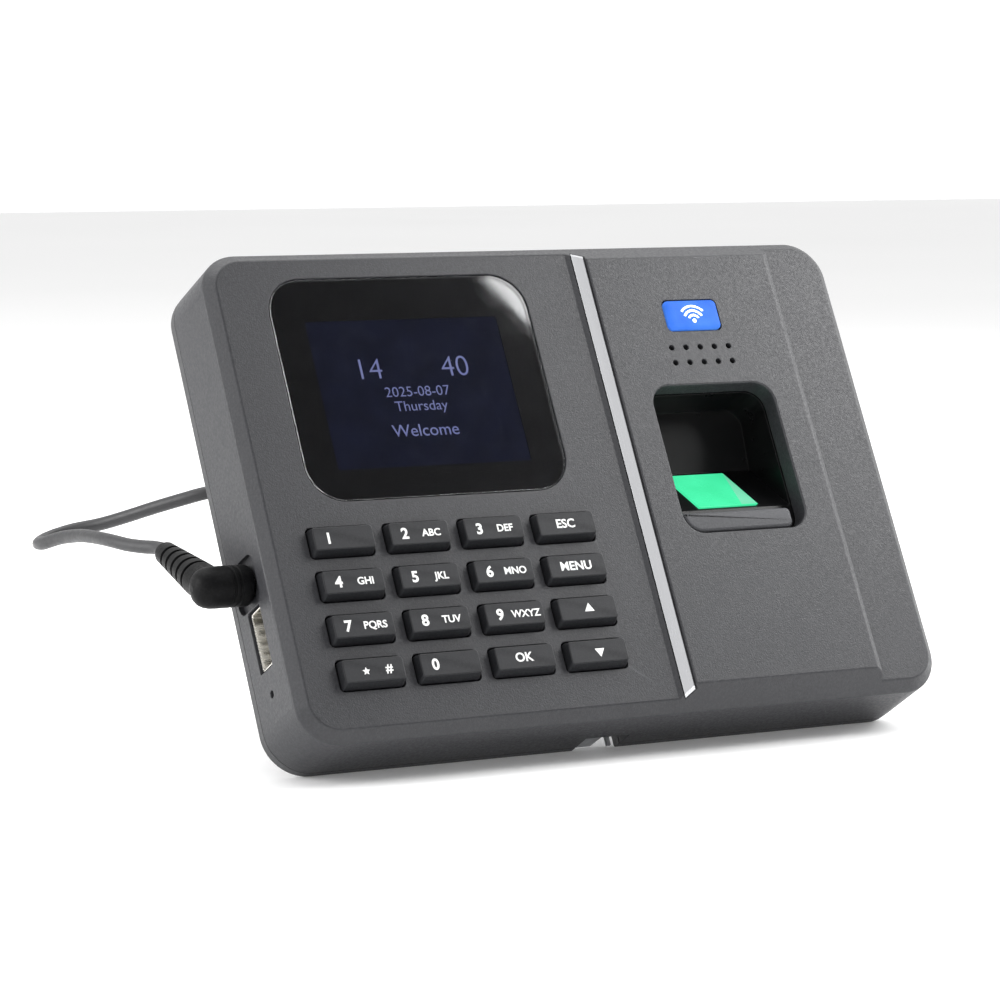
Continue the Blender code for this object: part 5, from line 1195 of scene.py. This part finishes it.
def legend_mesh(words):
    bm = bmesh.new()
    z = KEY_HEIGHT + 0.01 * MM
    if words[0] == "*":
        add_mark(bm, (-2.0 * MM, -0.3 * MM), (0.95 * MM, 0.95 * MM * 0.48), range(90, 450, 36), 1.0, z)
        lines = [("#", HASH)]
    elif words[-1] in ("up", "down"):
        turn = 0 if words[-1] == "up" else 180
        add_mark(bm, (0.3 * MM, -0.1 * MM), (1.35 * MM,), [at + turn for at in (90, 210, 330)], 1.05, z)
        lines = []
    elif words[0] is None:
        lines = [(words[1], WORD)]
    else:
        lines = list(zip(words, (DIGIT, LETTERS)))
    for text, (x, y, height, weight) in lines:
        add_text(bm, text, (x * MM, y * MM, z), height * MM, weight)
    return bm


def make_keys(f):
    flange_top = -FACE_WALL - GAP
    flange_low = flange_top - KEY_FLANGE[1]
    cap_top = rounded_top(shrunk(*KEY_FACE, KEY_RADIUS, (0.0, 0.0), 5), 0.0, KEY_HEIGHT, KEY_EDGE)[1:]
    stem, flange, root = [rounded_rectangle(width, height, KEY_RADIUS, 5, (0.0, -KEY_ROOT_DROP))
                          for width, height in (KEY_STEM[:2], [side + KEY_FLANGE[0] for side in KEY_ROOT],
                                                KEY_ROOT)]
    rings = [(stem, flange_low - KEY_STEM[2]), (stem, flange_low), (flange, flange_low),
             (flange, flange_top), (root, flange_top), (root, 0.0), *cap_top]
    for name, x, y in key_places():
        place = FACE @ Matrix.Translation((x, y, 0.0))
        cap = piece(f"cap_{name[4:]}", skin(rings), f["key"], body=name, replaces=(name,),
                    matrix=place, smooth=radians(30))
        legend = piece(f"legend_{name[4:]}", legend_mesh(LEGENDS[name]), f["legend"],
                       body=name, matrix=place)
        legend.parent = cap
        legend.matrix_parent_inverse = cap.matrix_world.inverted()
        legend.matrix_world = place


# ---------------------------------------------------------------- sensor

def platen_point(along, below=0.0):
    y = PLATEN_FOOT[0] + along * cos(PLATEN_TILT) - below * sin(PLATEN_TILT)
    z = PLATEN_FOOT[1] - along * sin(PLATEN_TILT) - below * cos(PLATEN_TILT)
    return y, z


def make_guide(f):
    """Walls round the finger's well, its bed at the platen's tilt, and a pocket for the prism."""
    centre = (PANEL_CENTRE_X, WINDOW_Y)
    half = WINDOW_SIZE[0] / 2 + GUIDE_WALL
    outer = shrunk(2 * half, WINDOW_SIZE[1] + 2 * GUIDE_WALL, 1.5 * MM, centre)
    rings = rounded_top(outer, -GUIDE_DEPTH, -FACE_WALL - GAP, 0.1 * MM, 2, 0.5 * MM)
    guide = piece("finger_well", skin(rings), f["well"], replaces=("finger_guide",))
    bed_low = platen_point(-3.4 * MM, BED_STEP)
    bed_high = platen_point(PLATEN_LENGTH + 1.2 * MM, BED_STEP)
    back = WINDOW_Y + WINDOW_SIZE[1] / 2 - GAP
    well = [(bed_low[0], 4 * MM), bed_low, bed_high, (back, bed_high[1] + 2.6 * MM), (back, 4 * MM)]
    bm = prisms((well, PANEL_CENTRE_X - half, PANEL_CENTRE_X + half), axis="x")
    cutter = link("well_tool", as_mesh("well_tool", bm))
    cutter.matrix_world = FACE
    plan = rounded_rectangle(WINDOW_SIZE[0] - 2 * GAP, WINDOW_SIZE[1] - 2 * GAP, WINDOW_RADIUS - GAP, 10,
                             centre)
    combine(cutter, prisms((plan, -GUIDE_DEPTH - PAST, 5 * MM)), "INTERSECT")
    bm = bmesh.new()
    bm.from_mesh(cutter.data)
    bpy.data.objects.remove(cutter)
    combine(guide, bm)
    low_y, high_z = platen_point(0.0)
    high_y, low_z = platen_point(PLATEN_LENGTH)
    pocket = [(low_y - GAP, high_z + GAP * 2.4), (low_y - GAP, low_z - GAP),
              (high_y + GAP * 2.4, low_z - GAP)]
    half = PLATEN_WIDTH / 2
    combine(guide, prisms((pocket, PANEL_CENTRE_X - half - GAP, PANEL_CENTRE_X + half + GAP), axis="x"))


def make_prism(f):
    """Lit prism, its platen split by the edge between its bright and pale parts."""
    low_y, high_z = platen_point(0.0)
    high_y, low_z = platen_point(PLATEN_LENGTH)
    left = PANEL_CENTRE_X - PLATEN_WIDTH / 2
    right = PANEL_CENTRE_X + PLATEN_WIDTH / 2
    bm = prisms(([(low_y, high_z), (low_y, low_z), (high_y, low_z)], left, right), axis="x")
    bmesh.ops.recalc_face_normals(bm, faces=bm.faces)
    bmesh.ops.bevel(bm, geom=list(bm.edges), offset=0.35 * MM, segments=2, profile=0.5, affect="EDGES")
    bm.normal_update()
    out = Vector((0.0, sin(PLATEN_TILT), cos(PLATEN_TILT)))
    platen = next(face for face in bm.faces if face.normal.dot(out) > 0.999)
    highest = max((v for v in platen.verts if v.co.x > right - 1 * MM), key=lambda v: v.co.y)
    lowest = min(v.co.y for v in platen.verts)
    foot = next(edge for edge in platen.edges if all(abs(v.co.y - lowest) < 1e-6 for v in edge.verts))
    from_left = min(foot.verts, key=lambda v: v.co.x)
    _edge, vert = bmesh.utils.edge_split(foot, from_left, 0.73)
    bmesh.utils.face_split(platen, vert, highest)
    for face in bm.faces:
        pale_part = face.normal.dot(out) > 0.999 and len(face.verts) == 3
        face.material_index = 1 if pale_part or face.normal.x > 0.9 else 0
    piece("lit_prism", bm, (f["platen"], f["facet"]), replaces=("sensor_prism",))


def make_sill(f):
    """Sill across the window's foot, following the window's left corner and short of the right."""
    left = PANEL_CENTRE_X - WINDOW_SIZE[0] / 2 + GAP
    right = PANEL_CENTRE_X + WINDOW_SIZE[0] / 2 - SILL_SHORT
    bottom = WINDOW_Y - WINDOW_SIZE[1] / 2 + GAP
    top = bottom + SILL_HEIGHT
    round_left, round_low, round_high = WINDOW_RADIUS - GAP, 1.8 * MM, 1.2 * MM
    arcs = ((left + round_left, bottom + round_left, round_left, pi, 8, pi / 16),
            (right - round_low, bottom + round_low, round_low, -pi / 2, 5, pi / 10),
            (right - round_high, top - round_high, round_high, 0.0, 5, pi / 10))

    def outline(inset):
        points = []
        for x, y, radius, start, steps, turn in arcs:
            for step in range(steps + 1):
                angle = start + step * turn
                points.append((x + (radius - inset) * cos(angle), y + (radius - inset) * sin(angle)))
        points.append((left + inset, top - inset))
        return points

    piece("window_sill", skin(rounded_top(outline, -FACE_WALL, SILL_TOP, 0.9 * MM, 5)), f["sill"],
          replaces=("finger_sill",))


# ---------------------------------------------------------------- ports

def make_ports(f):
    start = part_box("usb_port_shell")[0].x
    y, z = USB_CENTRE

    def sleeve(size, radius, segments, centre, stops):
        return skin([(rounded_rectangle(size[0] - 2 * inset * MM, size[1] - 2 * inset * MM, radius, segments,
                                        centre), start + depth * MM) for inset, depth in stops], "x")

    stops = ((0.0, 16.0), (0.0, 0.25), (0.1, 0.0), (0.3, 0.0), (0.45, 0.3), (0.45, 15.5))
    socket = piece("usb_socket", sleeve(USB_SHELL, 0.5 * MM, 4, USB_CENTRE, stops), f["nickel"],
                   replaces=("usb_port_shell",))
    springs = [y + side * 3.0 * MM for side in (-1, 1)]
    combine(socket, boxes(*[((start + 2.5 * MM, at - 0.9 * MM, z - 4 * MM),
                             (start + 7 * MM, at + 0.9 * MM, z - USB_SHELL[1] / 2 + 0.3 * MM))
                            for at in springs]))
    top = z + USB_SHELL[1] / 2 - 0.7 * MM
    bottom = top - USB_TONGUE[1]
    tongue = sleeve(USB_TONGUE, 0.2 * MM, 3, (y, top - USB_TONGUE[1] / 2),
                    ((0.25, 1.2), (0.0, 1.6), (0.0, 14.9)))
    piece("usb_tongue", tongue, f["legend"], replaces=("usb_port_tongue",))
    lines = [y + (contact - 1.5) * CONTACT_PITCH for contact in range(4)]
    bm = boxes(*[((start + 2.0 * MM, at - CONTACT_HALF, bottom - 0.12 * MM),
                  (start + 12 * MM, at + CONTACT_HALF, bottom)) for at in lines])
    piece("usb_contacts", bm, f["nickel"])


# ---------------------------------------------------------------- stand

def rounded_path(path, radius, steps=6):
    """A path with its corners turned into arcs of a radius."""
    result = [Vector(path[0])]
    for before, corner, after in zip(path, path[1:], path[2:]):
        before, corner, after = Vector(before), Vector(corner), Vector(after)
        first = (before - corner).normalized()
        second = (after - corner).normalized()
        half = first.angle(second) / 2
        reach = radius / tan(half)
        centre = corner + (first + second).normalized() * (radius / sin(half))
        start = corner + first * reach - centre
        end = corner + second * reach - centre
        swing = start.angle(end)
        for step in range(steps + 1):
            share = step / steps
            turned = start * sin((1 - share) * swing) + end * sin(share * swing)
            result.append(centre + turned / sin(swing))
    result.append(Vector(path[-1]))
    return result


def sheet_section(path, thickness):
    """Outline of a sheet of a thickness whose middle follows the path."""
    left, right = [], []
    for index, here in enumerate(path):
        before = (here - path[index - 1]).normalized() if index else None
        after = (path[index + 1] - here).normalized() if index + 1 < len(path) else None
        first, second = before or after, after or before
        bisector = Vector((-(first.y + second.y), first.x + second.x)).normalized()
        reach = thickness / 2 / bisector.dot(Vector((-first.y, first.x)))
        left.append(here + bisector * reach)
        right.append(here - bisector * reach)
    return [tuple(point) for point in left + right[::-1]]


def make_stand(f):
    front = -BODY_DEPTH - GAP
    back = front - STAND_SHEET
    plate_z = front - STAND_SHEET / 2
    foot_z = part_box("stand_pad_left")[1].z + GAP + STAND_SHEET / 2
    foot_y = to_world(0.0, 0.0, -BODY_DEPTH).y + STAND_REACH
    path = [(STAND_PLATE[0], plate_z), (STAND_PLATE[1], plate_z), to_face(foot_y, foot_z),
            to_face(foot_y - STAND_FOOT, foot_z)]
    section = sheet_section(rounded_path(path, STAND_BEND), STAND_SHEET)
    bm = prisms((section, -STAND_WIDTH / 2, STAND_WIDTH / 2), axis="x")

    def rounded(points):
        return {tuple(round(c, 6) for c in point) for point in points}

    half = len(section) // 2
    tips = (rounded((section[0], section[-1])), rounded(section[half - 1:half + 1]))
    corners = [edge for edge in bm.edges if rounded(v.co[1:] for v in edge.verts) in tips]
    bmesh.ops.recalc_face_normals(bm, faces=bm.faces)
    bmesh.ops.bevel(bm, geom=corners, offset=4 * MM, segments=6, profile=0.5, affect="EDGES")
    stand = piece("folded_stand", bm, f["zinc"], replaces=("desk_stand",))

    hook_front = -BODY_DEPTH + NOTCH_DEPTH - GAP
    hook_low, hook_high = HOOK_X - HOOK_WIDTH / 2, HOOK_X + HOOK_WIDTH / 2
    neck = [(HOOK_LEVEL, back), (STAND_PLATE[0] + 2 * MM, back), (STAND_PLATE[0] + 2 * MM, front),
            (HOOK_LEVEL + 0.8 * MM, front), (HOOK_LEVEL + 0.8 * MM, hook_front), (HOOK_LEVEL, hook_front)]
    combine(stand, prisms((neck, hook_low, hook_high), axis="x"), "UNION")
    combine(stand, boxes(((hook_high - 0.9 * MM, HOOK_LEVEL - 3 * MM, hook_front - 0.9 * MM),
                          (hook_high, HOOK_LEVEL + 0.4 * MM, hook_front))), "UNION")
    window = rounded_rectangle(36 * MM, 22 * MM, 4 * MM, 8, (0.0, 33 * MM))
    bm = posts(SCREW_HOLE_RADIUS, 24, back - PAST, front + PAST, STAND_SCREWS)
    combine(stand, add_skin(bm, [(window, back - PAST), (window, front + PAST)]))


def make_foot_pads(f):
    for side in ("left", "right"):
        low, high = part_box(f"stand_pad_{side}")
        size, middle = high - low, (low + high) / 2
        plan = shrunk(size.x, size.y, 2 * MM, (middle.x, middle.y))
        piece(f"foot_pad_{side}", skin(rounded_top(plan, low.z, high.z, 0.1 * MM, 2, 0.5 * MM)), f["pad"],
              replaces=(f"stand_pad_{side}",), matrix=WORLD)


def make_tie(f):
    """Band of fabric round one side of the coil, its edges softened."""
    low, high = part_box("cord_tie")
    wall, edge, radius = 1.0 * MM, 0.25 * MM, 2.6 * MM
    width, height = high.y - low.y, high.z - low.z
    outer, soft, inner = [rounded_rectangle(width - 2 * inset, height - 2 * inset, radius - inset, 6,
                                            ((low.y + high.y) / 2, (low.z + high.z) / 2))
                          for inset in (0.0, edge, wall)]
    rings = [(inner, low.x), (soft, low.x), (outer, low.x + edge), (outer, high.x - edge),
             (soft, high.x), (inner, high.x)]
    return piece("coil_tie", skin(rings, "x", closed=True), f["cloth"],
                 replaces=("cord_tie",), matrix=WORLD)


# ---------------------------------------------------------------- the rest of the CAD

NODE_LOOKS = {
    "cord_clip": "clip", "dc_jack": "black", "dc_plug_barrel": "nickel", "reset_plunger": "legend",
    "reset_switch": "black", "display_module": "steel", "keypad_mat": "mat", "keypad_board": "board",
    "main_board": "board", "sensor_board": "board", "backup_battery": "foil", "clock_cell": "steel",
    "processor": "chip", "speaker": "steel",
}


def finish_nodes(f):
    for node, look in NODE_LOOKS.items():
        slots = frame["nodes"][node].data.materials
        if not slots:
            slots.append(f[look])
        for index in range(len(slots)):
            slots[index] = f[look]


def main():
    make_camera()
    f = make_finishes()
    cord, leaves, length = make_lead(f)
    plug = make_plug(f)
    far_plug = make_far_plug(f)
    make_foot_pads(f)
    tie = make_tie(f)
    make_studio()
    make_housing(f)
    make_cover(f)
    seat = SCREW_SEAT - GAP
    for index, place in enumerate(boss_places(), start=1):
        make_screw(f"rear_screw_{index}", f"cover_screw_{index}", place, seat - SCREW_HEAD_HEIGHT, seat,
                   9 * MM, f)
    seat = -BODY_DEPTH - 2 * GAP - STAND_SHEET
    for side, place in zip(("left", "right"), STAND_SCREWS):
        make_screw(f"leg_screw_{side}", f"stand_screw_{side}", place, seat - SCREW_HEAD_HEIGHT, seat,
                   4 * MM, f)
    for make in (make_display, make_trim, make_badge, make_keys, make_guide, make_prism, make_sill,
                 make_ports, make_stand, finish_nodes):
        make(f)
    for name in ("housing", "rear_cover", "folded_stand"):
        item = bpy.data.objects[name]
        item.data.transform(item.matrix_world)
        item.matrix_world = WORLD
    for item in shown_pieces():
        if item.type == "MESH" and "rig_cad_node" not in item:
            modifier = item.modifiers.new("face_weighted_normals", "WEIGHTED_NORMAL")
            modifier.keep_sharp = True
            modifier.weight = 100


main()
